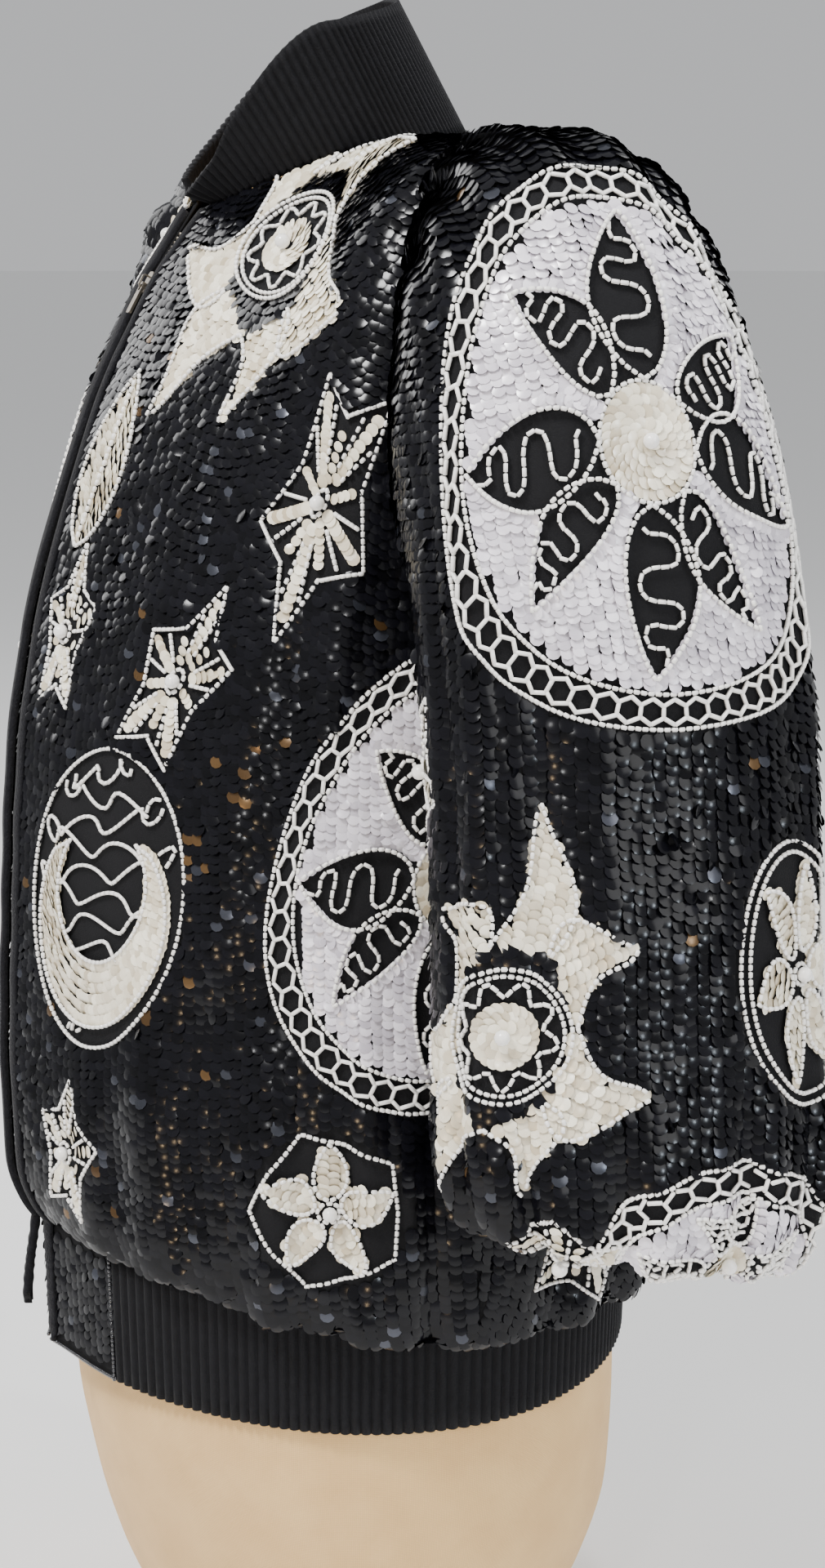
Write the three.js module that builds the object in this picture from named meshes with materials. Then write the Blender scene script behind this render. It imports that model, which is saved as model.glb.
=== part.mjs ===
// A sequined bomber jacket, zipped up on a limbless dress form.
// Millimetres, +Z up, the wearer's front faces -Y and the wearer's left is +X.
import * as THREE from "three";

const TAU = 2 * Math.PI;
const WALL = 1.6;
const RIB_WALL = 2.4;
const SEAM = 0.3;

// The body's rings, from the neck seam (v = 0) to the seam above the hem band (v = 1):
// half width, depth to the front and back, the height at the side, front and back, how square
// the ring is, and how far its front falls away beside the centre, as a share of its depth.
const BODY = [
  { v: 0.0, half: 75, front: 74, back: 56, sideZ: 802, frontZ: 776, backZ: 812, square: 2.0, wedge: 0.0 },
  { v: 0.09, half: 122, front: 101, back: 84, sideZ: 805, frontZ: 736, backZ: 790, square: 2.1, wedge: 0.12 },
  { v: 0.19, half: 180, front: 124, back: 106, sideZ: 799, frontZ: 684, backZ: 756, square: 2.3, wedge: 0.17 },
  { v: 0.28, half: 195, front: 141, back: 122, sideZ: 748, frontZ: 628, backZ: 704, square: 2.4, wedge: 0.15 },
  { v: 0.42, half: 198, front: 155, back: 134, sideZ: 670, frontZ: 562, backZ: 630, square: 2.4, wedge: 0.1 },
  { v: 0.54, half: 197, front: 164, back: 138, sideZ: 596, frontZ: 500, backZ: 565, square: 2.4, wedge: 0.07 },
  { v: 0.68, half: 198, front: 168, back: 143, sideZ: 490, frontZ: 430, backZ: 470, square: 2.4, wedge: 0.06 },
  { v: 0.82, half: 201, front: 171, back: 152, sideZ: 375, frontZ: 352, backZ: 365, square: 2.4, wedge: 0.06 },
  { v: 0.92, half: 198, front: 169, back: 160, sideZ: 286, frontZ: 295, backZ: 300, square: 2.4, wedge: 0.06 },
  { v: 0.965, half: 190, front: 163, back: 155, sideZ: 246, frontZ: 274, backZ: 262, square: 2.3, wedge: 0.05 },
  { v: 1.0, half: 173, front: 157, back: 139, sideZ: 262, frontZ: 264, backZ: 270, square: 2.2, wedge: 0.04 },
];
// The front is no squarer than this, and a ring's height follows this power of cos(u).
const FRONT_SQUARE = 2.05;
const SAG_POWER = 1.6;

// The armhole: its highest and lowest place, and how far it cuts into the front and the back.
const V_SHOULDER = 0.19;
const V_UNDERARM = 0.54;
const ARM_FRONT = 0.3;
const ARM_BACK = 0.55;
const ARM_SQUARE = 2.6;

// The ridge that the zip makes down the centre front.
const RIDGE = { height: 9, width: 0.1, starts: 0.1, full: 0.4 };

// Half the gap between the two fronts: open in a V above the slider, narrow below it.
const GAP = [
  { v: 0.0, half: 14 },
  { v: 0.07, half: 6.4 },
  { v: 0.11, half: 5.6 },
  { v: 0.16, half: 3.4 },
  { v: 1.0, half: 3.4 },
  { v: 2.0, half: 3.0 },
];

// Soft folds above the hem band, where the body is gathered into it, none at the centre front.
const GATHER = { height: 2.4, waves: 16, phase: 0.8, from: 0.72, to: 0.97, calm: 0.9 };

// Where the panels' rows of points lie: below the armhole, and close together at the blousing.
const SIDE_ENDS = 0.86;
const TURN_LEVELS = [0.9, 0.93, 0.95, 0.965, 0.98, 0.99, 1];
const EDGE_LEVELS = { even: 0.88, turn: [0.93, 0.965] };
const SLEEVE_LEVELS = [0, 0.03, 0.07, 0.11, 0.16, 0.2, 0.24, 0.29, 0.36, 0.45, 0.54, 0.64].concat(
  [0.73, 0.8, 0.85, 0.89, 0.92, 0.94, 0.96, 1]
);

// The sleeve's rings, from the armhole (s = 0) to the cuff seam (s = 1): the inner and outer
// ends of each ring, its middle and half depth along Y, and how much lower its back is.
const SLEEVE = [
  { s: 0.0, inX: 197, inZ: 600, outX: 190, outZ: 804, midY: 18, deep: 62, tilt: 0 },
  { s: 0.08, inX: 208, inZ: 597, outX: 214, outZ: 811, midY: 19, deep: 70, tilt: 0 },
  { s: 0.16, inX: 209, inZ: 592, outX: 242, outZ: 802, midY: 22, deep: 74, tilt: 0 },
  { s: 0.24, inX: 209, inZ: 584, outX: 266, outZ: 772, midY: 26, deep: 77, tilt: 0 },
  { s: 0.32, inX: 208, inZ: 572, outX: 284, outZ: 728, midY: 31, deep: 80, tilt: 0 },
  { s: 0.42, inX: 206, inZ: 545, outX: 299, outZ: 655, midY: 37, deep: 84, tilt: 0 },
  { s: 0.55, inX: 203, inZ: 490, outX: 306, outZ: 545, midY: 45, deep: 87, tilt: 0 },
  { s: 0.7, inX: 204, inZ: 420, outX: 309, outZ: 440, midY: 48, deep: 88, tilt: 0 },
  { s: 0.82, inX: 206, inZ: 366, outX: 312, outZ: 366, midY: 50, deep: 91, tilt: 4 },
  { s: 0.88, inX: 208, inZ: 338, outX: 309, outZ: 332, midY: 51, deep: 86, tilt: 10 },
  { s: 0.92, inX: 214, inZ: 322, outX: 300, outZ: 316, midY: 51, deep: 73, tilt: 15 },
  { s: 0.95, inX: 221, inZ: 320, outX: 288, outZ: 318, midY: 50, deep: 58, tilt: 12 },
  { s: 1.0, inX: 222, inZ: 362, outX: 278, outZ: 362, midY: 48, deep: 38, tilt: 2 },
];
const SLEEVE_SQUARE = 2.3;
// Upright folds in the sleeve: share of its size, and waves round it with their weights.
const SLEEVE_FOLD = { size: 0.03, ends: 0.95 };
const SLEEVE_WAVES = [
  { weight: 0.6, turns: 5, phase: 0.7, twist: 0 },
  { weight: 0.4, turns: 3, phase: 2, twist: 2 },
];
// The head: how far down it blends into the armhole, how full it is, and its gap to the body.
const ARMHOLE_BLEND = 0.2;
const SLEEVE_HEAD = 16;
const SLEEVE_HEAD_GAP = 0.6;

// The rib pieces: how far each is from its seam to its free edge, and its ribs.
const CUFF = { length: 50, ribs: 30, rise: 0.9, inside: 1.6, squeeze: 0.93 };
const HEM_RIBS = 112;
const COLLAR_RIBS = 84;
const RIB_RISE = 1.1;
const COLLAR_GAP = 0.9;
const TAB_WIDTH = 66;

const HEM = [
  { v: 0.0, half: 171, front: 157, back: 137, sideZ: 262, frontZ: 264, backZ: 270 },
  { v: 1.0, half: 169, front: 155, back: 135, sideZ: 194, frontZ: 197, backZ: 208 },
];
const HEM_SQUARE = 2.2;

// The collar by the angle round the neck: its height, how steeply it rises, its outward lean.
const COLLAR = [
  { deg: -180, tall: 72, rise: 60, out: 0.0 },
  { deg: -135, tall: 66, rise: 68, out: 0.0 },
  { deg: -90, tall: 52, rise: 86, out: 0.0 },
  { deg: -45, tall: 24, rise: 94, out: 0.0 },
  { deg: -10, tall: 13, rise: 60, out: 0.0 },
  { deg: 10, tall: 14, rise: 16, out: 0.06 },
  { deg: 28, tall: 20, rise: 42, out: 0.08 },
  { deg: 45, tall: 36, rise: 54, out: 0.08 },
  { deg: 90, tall: 66, rise: 60, out: 0.08 },
  { deg: 180, tall: 72, rise: 60, out: 0.0 },
];

// The dress form: half width, depth to the front and back, and the middle's place along Y.
const FORM = [
  { z: 14.3, half: 104, front: 92, back: 92, midY: 0 },
  { z: 40, half: 120, front: 108, back: 106, midY: 0 },
  { z: 75, half: 140, front: 124, back: 121, midY: 0 },
  { z: 120, half: 155, front: 136, back: 132, midY: 0 },
  { z: 175, half: 162, front: 144, back: 133.2, midY: 0 },
  { z: 230, half: 163, front: 143, back: 131.2, midY: 0 },
  { z: 300, half: 146, front: 126, back: 106, midY: 0 },
  { z: 400, half: 118, front: 98, back: 84, midY: 0 },
  { z: 530, half: 138, front: 118, back: 92, midY: 0 },
  { z: 660, half: 152, front: 88, back: 86, midY: 0 },
  { z: 730, half: 140, front: 66, back: 70, midY: 0 },
  { z: 772, half: 106, front: 48, back: 52, midY: 0 },
  { z: 792, half: 70, front: 42, back: 42, midY: 0 },
  { z: 804, half: 58, front: 40, back: 38, midY: 0 },
  { z: 818, half: 52, front: 37, back: 34, midY: -4 },
  { z: 834, half: 48, front: 34, back: 31, midY: -8 },
];
const FORM_SQUARE = 2.2;
const FORM_SIDES = 30;
// The form's rounded top: how far each ring is above the last one and how much smaller.
const FORM_TOP = [
  { above: 3, shrink: 4 },
  { above: 4, shrink: 12 },
];
const BASE = { height: 14, half: 100, front: 88, back: 88, edge: 2 };

// A strip down each front's edge, placed by w: it stands proud of the skin once it has risen, it
// hangs loose at its lower end, and it narrows to its tip.
const PLACKET = {
  left: { side: 1, wide: 6.5, ends: 1.98, proud: 0, hangs: 0 },
  right: { side: -1, wide: 14, ends: 1.76, proud: 2.5, hangs: 8 },
};
const STRIP = { wall: 1.8, lift: 0.7, fromGap: 0.4, starts: 0.012, rises: 0.12, risen: 0.42, loose: 0.8 };
const TIP = { length: 0.12, narrowest: 0.25 };

// Each half of the zip's tape lies behind its front's edge.
const TAPE = { wide: 13, wall: 0.9, behind: 0.9, past: 3.0, least: 0.5, starts: 0.02, ends: 1.9 };

// The zip's slider by its place down the front, the arch on it and the pull that hangs in the arch.
const SLIDER = { at: 0.088, length: 12, width: 8.4, thick: 4.6, sunk: 2.6, corner: 2.2 };
const SLIDER_TOP = SLIDER.thick - SLIDER.sunk;
const ARCH = { reach: 2.6, leg: 0.8, width: 2, clear: 2.4, corner: 1 };
const PULL = { length: 17, width: 6.4, thick: 1.4, eye: 3.4, eyeWidth: 3.2, bar: 1.4, from: 1.2 };
const PULL_CORNER = 1.6;
const PULL_CLEAR = 0.5;

const COLOURS = {
  sequin: { color: 0x16171b, roughness: 0.3, metalness: 0.35 },
  rib: { color: 0x0d0d0f, roughness: 0.9, metalness: 0 },
  velvet: { color: 0x101012, roughness: 0.95, metalness: 0 },
  tape: { color: 0x0c0c0e, roughness: 0.85, metalness: 0 },
  metal: { color: 0x4a4640, roughness: 0.35, metalness: 1 },
  linen: { color: 0xd9c7a6, roughness: 0.85, metalness: 0 },
  base: { color: 0x161616, roughness: 0.6, metalness: 0 },
};

// A monotone cubic through the rows' values of one column.
function curve(rows, key, column) {
  const xs = rows.map((row) => row[key]);
  const ys = rows.map((row) => row[column]);
  const slopes = xs.slice(1).map((x, k) => (ys[k + 1] - ys[k]) / (x - xs[k]));
  const tangents = xs.map((x, k) => {
    if (k === 0) return slopes[0];
    if (k === xs.length - 1) return slopes[k - 1];
    if (slopes[k - 1] * slopes[k] <= 0) return 0;
    const before = xs[k] - xs[k - 1];
    const after = xs[k + 1] - xs[k];
    const w1 = 2 * after + before;
    const w2 = after + 2 * before;
    return (w1 + w2) / (w1 / slopes[k - 1] + w2 / slopes[k]);
  });
  return (value) => {
    const x = Math.min(Math.max(value, xs[0]), xs[xs.length - 1]);
    let k = 0;
    while (k < xs.length - 2 && x > xs[k + 1]) k += 1;
    const h = xs[k + 1] - xs[k];
    const t = (x - xs[k]) / h;
    const start = (1 + 2 * t) * (1 - t) ** 2 * ys[k] + t * (1 - t) ** 2 * h * tangents[k];
    const end = t * t * (3 - 2 * t) * ys[k + 1] + t * t * (t - 1) * h * tangents[k + 1];
    return start + end;
  };
}

function curves(rows, key) {
  const columns = Object.keys(rows[0]).filter((name) => name !== key);
  return Object.fromEntries(columns.map((name) => [name, curve(rows, key, name)]));
}

const body = curves(BODY, "v");
const gap = curves(GAP, "v");
const sleeve = curves(SLEEVE, "s");
const hem = curves(HEM, "v");
const collar = curves(COLLAR, "deg");
const form = curves(FORM, "z");

const clamp = (value, low, high) => Math.min(Math.max(value, low), high);
const power = (value, n) => Math.sign(value) * Math.abs(value) ** (2 / n);
const smooth = (t) => t * t * (3 - 2 * t);
const spread = (from, to, steps) =>
  Array.from({ length: steps + 1 }, (_, k) => from + ((to - from) * k) / steps);

// The signed angle round the body, from -PI to PI, with 0 at the centre front.
const signed = (u) => u - TAU * Math.round(u / TAU);

function ridge(u, v) {
  const grown = clamp((v - RIDGE.starts) / (RIDGE.full - RIDGE.starts), 0, 1);
  return RIDGE.height * grown * Math.exp(-Math.abs(signed(u)) / RIDGE.width);
}

function gather(u, v) {
  const t = (v - GATHER.from) / (GATHER.to - GATHER.from);
  if (t <= 0 || t >= 1) return 0;
  const away = smooth(clamp(Math.abs(signed(u)) / GATHER.calm, 0, 1));
  return GATHER.height * away * Math.sin(Math.PI * t) * Math.sin(GATHER.waves * u + GATHER.phase);
}

// A ring's point at an angle: extra moves it forward, and swell moves it outward.
function ringPoint(u, size, square, extra, swell) {
  const s = Math.sin(u);
  const c = Math.cos(u);
  const inFront = c > 0;
  const depth = (inFront ? size.front : size.back) + swell;
  const fall = inFront ? size.wedge * Math.sin(2 * u) ** 2 : 0;
  const x = (size.half + swell) * power(s, square);
  const y = -depth * (power(c, inFront ? Math.min(square, FRONT_SQUARE) : square) - fall) - extra;
  const endZ = inFront ? size.frontZ : size.backZ;
  return new THREE.Vector3(x, y, size.sideZ + (endZ - size.sideZ) * Math.abs(c) ** SAG_POWER);
}

const sizeAt = (table, t) =>
  Object.fromEntries(Object.entries(table).map(([name, value]) => [name, value(t)]));

function bodyPoint(u, v) {
  const size = sizeAt(body, v);
  return ringPoint(u, size, size.square, ridge(u, v), gather(u, v));
}

function hemPoint(u, v) {
  const size = { ...sizeAt(hem, v), wedge: body.wedge(1) };
  return ringPoint(u, size, HEM_SQUARE, ridge(u, 1), 0);
}

// The front's skin at x from the centre front, over the body (w to 1) and hem (w from 1 to 2).
function frontPoint(x, w) {
  const half = w < 1 ? body.half(w) : hem.half(w - 1);
  const square = w < 1 ? body.square(w) : HEM_SQUARE;
  const u = Math.sign(x) * (Math.abs(x) / half) ** (square / 2);
  return w < 1 ? bodyPoint(u, w) : hemPoint(u, w - 1);
}

const edgeAngle = (v) => (gap.half(v) / body.half(v)) ** (body.square(v) / 2);
const hemAngle = (x) => (x / hem.half(0)) ** (HEM_SQUARE / 2);

// The armhole is a loop in the body's skin: phi = 90 degrees at the shoulder, 0 at the back.
function armholeAngle(phi) {
  const c = Math.cos(phi);
  return Math.PI / 2 + (c > 0 ? ARM_BACK : ARM_FRONT) * power(c, ARM_SQUARE);
}

function armholeLevel(phi) {
  return V_SHOULDER + ((V_UNDERARM - V_SHOULDER) * (1 - Math.sin(phi))) / 2;
}

function sleeveSwell(phi, s) {
  const wave = SLEEVE_WAVES.reduce(
    (sum, { weight, turns, phase, twist }) => sum + weight * Math.sin(turns * phi + phase + twist * s),
    0
  );
  return 1 + SLEEVE_FOLD.size * Math.sin(Math.PI * clamp(s / SLEEVE_FOLD.ends, 0, 1)) * wave;
}

function sleevePoint(phi, s) {
  const size = sizeAt(sleeve, s);
  const swell = sleeveSwell(phi, s);
  const e = power(Math.cos(phi), SLEEVE_SQUARE) * swell;
  const f = power(Math.sin(phi), SLEEVE_SQUARE) * swell;
  const x = (size.outX + size.inX) / 2 + ((size.outX - size.inX) / 2) * f;
  const z = (size.outZ + size.inZ) / 2 + ((size.outZ - size.inZ) / 2) * f - size.tilt * e;
  const ring = new THREE.Vector3(x, size.midY + size.deep * e, z);
  const t = clamp(s / ARMHOLE_BLEND, 0, 1);
  const armhole = bodyPoint(armholeAngle(phi), armholeLevel(phi));
  armhole.x += SLEEVE_HEAD * t * (2 - t);
  return armhole.lerp(ring, smooth(t));
}

// The cuff hangs straight down from the sleeve's last ring.
function cuffPoint(phi, t) {
  const top = sleevePoint(phi, 1);
  const size = sizeAt(sleeve, 1);
  const snug = 1 - CUFF.inside / size.deep;
  const shrink = snug - (1 - CUFF.squeeze) * Math.sin((Math.PI / 2) * t);
  const middleX = (size.inX + size.outX) / 2;
  const x = middleX + (top.x - middleX) * shrink;
  const y = size.midY + (top.y - size.midY) * shrink;
  return new THREE.Vector3(x, y, top.z - CUFF.length * t);
}

function collarPoint(u, t) {
  const size = sizeAt(collar, THREE.MathUtils.radToDeg(signed(u)));
  const rise = THREE.MathUtils.degToRad(size.rise);
  const side = Math.sign(signed(u));
  const lean = new THREE.Vector3(size.out * side, -Math.cos(rise), Math.sin(rise)).normalize();
  return bodyPoint(u, 0).addScaledVector(lean, size.tall * t);
}

// The unit normal of a skin, on the side that flip chooses.
function normalOf(skin, a, b, flip) {
  const step = 0.004;
  const alongA = skin(a + step, b).sub(skin(a - step, b));
  const alongB = skin(a, b + step).sub(skin(a, b - step));
  return alongB.cross(alongA).normalize().multiplyScalar(flip);
}

// A grid of places on a skin with the normals there. cells[row][column] is a pair of parameters.
function sample(skin, cells, flip = 1) {
  return cells.map((row) =>
    row.map(([a, b]) => ({ at: skin(a, b), normal: normalOf(skin, a, b, flip) }))
  );
}

// Moves the first or last points of each line towards their neighbours, to leave a seam's gap.
function insetEnds(line, atStart, atEnd) {
  const last = line.length - 1;
  const pull = (from, to, by) => {
    const way = to.at.clone().sub(from.at).normalize();
    from.at.addScaledVector(way, by);
  };
  if (atStart) pull(line[0], line[1], atStart);
  if (atEnd) pull(line[last], line[last - 1], atEnd);
}

function insetGrid(grid, { left = 0, right = 0, top = 0, bottom = 0 }) {
  grid.forEach((row) => insetEnds(row, left, right));
  grid[0].forEach((_, k) => insetEnds(grid.map((row) => row[k]), top, bottom));
  return grid;
}

// A closed mesh from its corner points and triangles, turned to face outward.
function solid(points, triangles) {
  const position = new Float32Array(points.flatMap((p) => [p.x, p.y, p.z]));
  const volume = triangles.reduce((sum, [a, b, c]) => {
    const turned = points[b].clone().cross(points[c]);
    return sum + points[a].dot(turned);
  }, 0);
  const facing = volume < 0 ? triangles.map(([a, b, c]) => [a, c, b]) : triangles;
  const geometry = new THREE.BufferGeometry();
  geometry.setAttribute("position", new THREE.BufferAttribute(position, 3));
  geometry.setIndex(facing.flat());
  geometry.computeVertexNormals();
  return geometry;
}

// A cloth wall on a grid: its face lies lift outside the skin, its back the wall's depth inside.
function wall(grid, { depth = WALL, lift = 0, closed = false } = {}) {
  const rows = grid.length;
  const columns = grid[0].length;
  const place = (distance) =>
    grid.flatMap((row) => row.map(({ at, normal }) => at.clone().addScaledVector(normal, distance)));
  const points = [...place(lift), ...place(lift - depth)];
  const face = (r, c) => r * columns + (c % columns);
  const back = (r, c) => rows * columns + face(r, c);
  const spans = closed ? columns : columns - 1;
  const triangles = [];
  const quad = (a, b, c, d) => triangles.push([a, b, c], [a, c, d]);
  for (let c = 0; c < spans; c += 1) {
    for (let r = 0; r < rows - 1; r += 1) {
      quad(face(r, c), face(r + 1, c), face(r + 1, c + 1), face(r, c + 1));
      quad(back(r, c), back(r, c + 1), back(r + 1, c + 1), back(r + 1, c));
    }
    quad(back(0, c), face(0, c), face(0, c + 1), back(0, c + 1));
    quad(face(rows - 1, c), back(rows - 1, c), back(rows - 1, c + 1), face(rows - 1, c + 1));
  }
  if (!closed) {
    for (let r = 0; r < rows - 1; r += 1) {
      quad(face(r, 0), back(r, 0), back(r + 1, 0), face(r + 1, 0));
      const c = columns - 1;
      quad(back(r, c), face(r, c), face(r + 1, c), back(r + 1, c));
    }
  }
  return solid(points, triangles);
}

// A knitted rib wall: crests and valleys on its face, a plain inside. The grid's columns are
// valley, crest, valley and so on.
function ribbedWall(grid, rise, closed = false) {
  const rows = grid.length;
  const columns = grid[0].length;
  const ribs = closed ? columns / 2 : (columns - 1) / 2;
  const insideColumns = closed ? ribs : ribs + 1;
  const outside = grid.flatMap((row) =>
    row.map(({ at, normal }, c) => at.clone().addScaledVector(normal, c % 2 ? rise : 0))
  );
  const inside = grid.flatMap((row) =>
    row
      .filter((_, c) => c % 2 === 0)
      .map(({ at, normal }) => at.clone().addScaledVector(normal, -RIB_WALL))
  );
  const face = (r, c) => r * columns + (c % columns);
  const back = (r, k) => rows * columns + r * insideColumns + (k % insideColumns);
  const triangles = [];
  const quad = (a, b, c, d) => triangles.push([a, b, c], [a, c, d]);
  for (let k = 0; k < ribs; k += 1) {
    const c = 2 * k;
    for (let r = 0; r < rows - 1; r += 1) {
      quad(face(r, c), face(r + 1, c), face(r + 1, c + 1), face(r, c + 1));
      quad(face(r, c + 1), face(r + 1, c + 1), face(r + 1, c + 2), face(r, c + 2));
      quad(back(r, k), back(r, k + 1), back(r + 1, k + 1), back(r + 1, k));
    }
    const end = rows - 1;
    quad(back(0, k), face(0, c), face(0, c + 1), back(0, k + 1));
    triangles.push([back(0, k + 1), face(0, c + 1), face(0, c + 2)]);
    quad(face(end, c), back(end, k), back(end, k + 1), face(end, c + 1));
    triangles.push([face(end, c + 1), back(end, k + 1), face(end, c + 2)]);
  }
  if (!closed) {
    for (let r = 0; r < rows - 1; r += 1) {
      quad(face(r, 0), back(r, 0), back(r + 1, 0), face(r + 1, 0));
      const c = columns - 1;
      quad(back(r, ribs), face(r, c), face(r + 1, c), back(r + 1, ribs));
    }
  }
  return solid(outside.concat(inside), triangles);
}

// Places from the neck to the hem, close together where the cloth turns under.
function panelLevels() {
  const shoulder = spread(0, V_SHOULDER, 4).map((v) => ({ v, phi: null }));
  const armhole = spread(Math.PI / 2, -Math.PI / 2, 10)
    .slice(1, -1)
    .map((phi) => ({ v: armholeLevel(phi), phi }));
  const side = spread(V_UNDERARM, SIDE_ENDS, 5).map((v) => ({ v, phi: null }));
  const turn = TURN_LEVELS.map((v) => ({ v, phi: null }));
  return [...shoulder, ...armhole, ...side, ...turn];
}

function frontPanel() {
  const columns = spread(0, 1, 15);
  const cells = panelLevels().map(({ v, phi }) => {
    const start = edgeAngle(v);
    const end = phi === null ? Math.PI / 2 : armholeAngle(Math.PI - phi);
    return columns.map((t) => [start + (end - start) * t, v]);
  });
  const grid = sample(bodyPoint, cells);
  return wall(insetGrid(grid, { right: SEAM / 2, top: SEAM / 2, bottom: SEAM / 2 }));
}

function backPanel() {
  const columns = spread(0, 1, 24);
  const cells = panelLevels().map(({ v, phi }) => {
    const start = phi === null ? Math.PI / 2 : armholeAngle(phi);
    return columns.map((t) => [start + (TAU - 2 * start) * t, v]);
  });
  const grid = sample(bodyPoint, cells);
  const half = SEAM / 2;
  return wall(insetGrid(grid, { left: half, right: half, top: half, bottom: half }));
}

function sleevePiece() {
  const around = spread(0, TAU, 24).slice(0, -1);
  const cells = SLEEVE_LEVELS.map((s) => around.map((phi) => [phi, s]));
  const grid = insetGrid(sample(sleevePoint, cells, -1), { top: SLEEVE_HEAD_GAP, bottom: SEAM / 2 });
  return wall(grid, { closed: true });
}

function cuffPiece() {
  const around = spread(0, TAU, 2 * CUFF.ribs).slice(0, -1);
  const cells = spread(0, 1, 2).map((t) => around.map((phi) => [phi, t]));
  const grid = insetGrid(sample(cuffPoint, cells, -1), { top: SEAM / 2 });
  return ribbedWall(grid, CUFF.rise, true);
}

function collarPiece() {
  const start = edgeAngle(0);
  const around = spread(start, TAU - start, 2 * COLLAR_RIBS);
  const cells = spread(0, 1, 2).map((t) => around.map((u) => [u, t]));
  const grid = insetGrid(sample(collarPoint, cells, -1), { top: COLLAR_GAP });
  return ribbedWall(grid, RIB_RISE);
}

function hemBand() {
  const start = hemAngle(TAB_WIDTH);
  const around = spread(start, TAU - start, 2 * HEM_RIBS);
  const cells = [0, 1].map((v) => around.map((u) => [u, v]));
  const half = SEAM / 2;
  return ribbedWall(insetGrid(sample(hemPoint, cells), { left: half, right: half, top: half }), RIB_RISE);
}

// The plain end of the band beside the zip, sewn all over with sequins.
function hemTab() {
  const around = spread(hemAngle(gap.half(1)), hemAngle(TAB_WIDTH), 8);
  const cells = spread(0, 1, 4).map((v) => around.map((u) => [u, v]));
  const grid = insetGrid(sample(hemPoint, cells), { right: SEAM / 2, top: SEAM / 2 });
  return wall(grid, { depth: RIB_WALL });
}

// Places down the centre front, closer together where the fronts meet the hem tabs.
function edgeLevels(from, steps, to) {
  return spread(from, EDGE_LEVELS.even, steps).concat(EDGE_LEVELS.turn, spread(1, to, 4));
}

function placket({ side, wide, ends, proud, hangs }) {
  const levels = edgeLevels(STRIP.starts, 13, ends);
  const grid = levels.map((w) => {
    const inner = gap.half(w) + STRIP.fromGap;
    const stands = proud * smooth(clamp((w - STRIP.rises) / (STRIP.risen - STRIP.rises), 0, 1));
    const loose = hangs * smooth(clamp((w - STRIP.loose) / (ends - STRIP.loose), 0, 1));
    const toEnd = clamp((ends - w) / TIP.length, TIP.narrowest, 1);
    const narrowed = wide * Math.sin((Math.PI / 2) * toEnd);
    return [0, 0.5, 1].map((t) => {
      const x = side * (inner + wide / 2 + (t - 0.5) * narrowed);
      const at = frontPoint(x, w);
      const normal = normalOf(frontPoint, x, w, 1);
      return { at: at.addScaledVector(normal, stands + loose), normal };
    });
  });
  return wall(grid, { depth: STRIP.wall, lift: STRIP.wall + STRIP.lift });
}

function zipTape(side) {
  const levels = edgeLevels(TAPE.starts, 12, TAPE.ends);
  const grid = levels.map((w) => {
    const inner = Math.max(gap.half(w) - TAPE.past, TAPE.least);
    return spread(inner, inner + TAPE.wide, 2).map((x) => ({
      at: frontPoint(side * x, w),
      normal: new THREE.Vector3(0, -1, 0),
    }));
  });
  return wall(grid, { depth: TAPE.wall, lift: -(RIB_WALL + TAPE.behind) });
}

// The slider's frame: X across, Y down along the zip, Z out of the cloth.
function sliderFrame() {
  const centre = (w) => frontPoint(0.001, w).setX(0);
  const origin = centre(SLIDER.at);
  const below = centre(SLIDER.at + 0.02);
  const down = below.sub(origin).normalize();
  const across = new THREE.Vector3(-1, 0, 0);
  const out = across.clone().cross(down).normalize();
  return new THREE.Matrix4().makeBasis(across, down, out).setPosition(origin);
}

function roundedBar(width, length, radius) {
  const shape = new THREE.Shape();
  const x = width / 2;
  const y = length / 2;
  shape.moveTo(-x + radius, -y);
  shape.lineTo(x - radius, -y);
  shape.absarc(x - radius, -y + radius, radius, -Math.PI / 2, 0);
  shape.lineTo(x, y - radius);
  shape.absarc(x - radius, y - radius, radius, 0, Math.PI / 2);
  shape.lineTo(-x + radius, y);
  shape.absarc(-x + radius, y - radius, radius, Math.PI / 2, Math.PI);
  shape.lineTo(-x, -y + radius);
  shape.absarc(-x + radius, -y + radius, radius, Math.PI, 1.5 * Math.PI);
  return shape;
}

function sliderBody() {
  const outline = roundedBar(SLIDER.width, SLIDER.length, SLIDER.corner);
  const geometry = new THREE.ExtrudeGeometry(outline, {
    depth: SLIDER.thick,
    bevelEnabled: false,
    curveSegments: 4,
  });
  return geometry.translate(0, 0, -SLIDER.sunk);
}

// The arch that holds the pull, drawn from the side and given its width.
function sliderArch() {
  const outer = ARCH.reach + ARCH.leg;
  const height = ARCH.clear + ARCH.leg;
  const shape = new THREE.Shape();
  shape.moveTo(-outer, 0);
  shape.lineTo(-outer, height - ARCH.corner);
  shape.lineTo(-outer + ARCH.corner, height);
  shape.lineTo(outer - ARCH.corner, height);
  shape.lineTo(outer, height - ARCH.corner);
  shape.lineTo(outer, 0);
  shape.lineTo(ARCH.reach, 0);
  shape.lineTo(ARCH.reach, ARCH.clear);
  shape.lineTo(-ARCH.reach, ARCH.clear);
  shape.lineTo(-ARCH.reach, 0);
  const geometry = new THREE.ExtrudeGeometry(shape, { depth: ARCH.width, bevelEnabled: false });
  geometry.translate(0, 0, -ARCH.width / 2);
  geometry.rotateY(Math.PI / 2);
  geometry.rotateX(Math.PI / 2);
  return geometry.translate(0, 0, SLIDER_TOP + SEAM);
}

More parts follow.
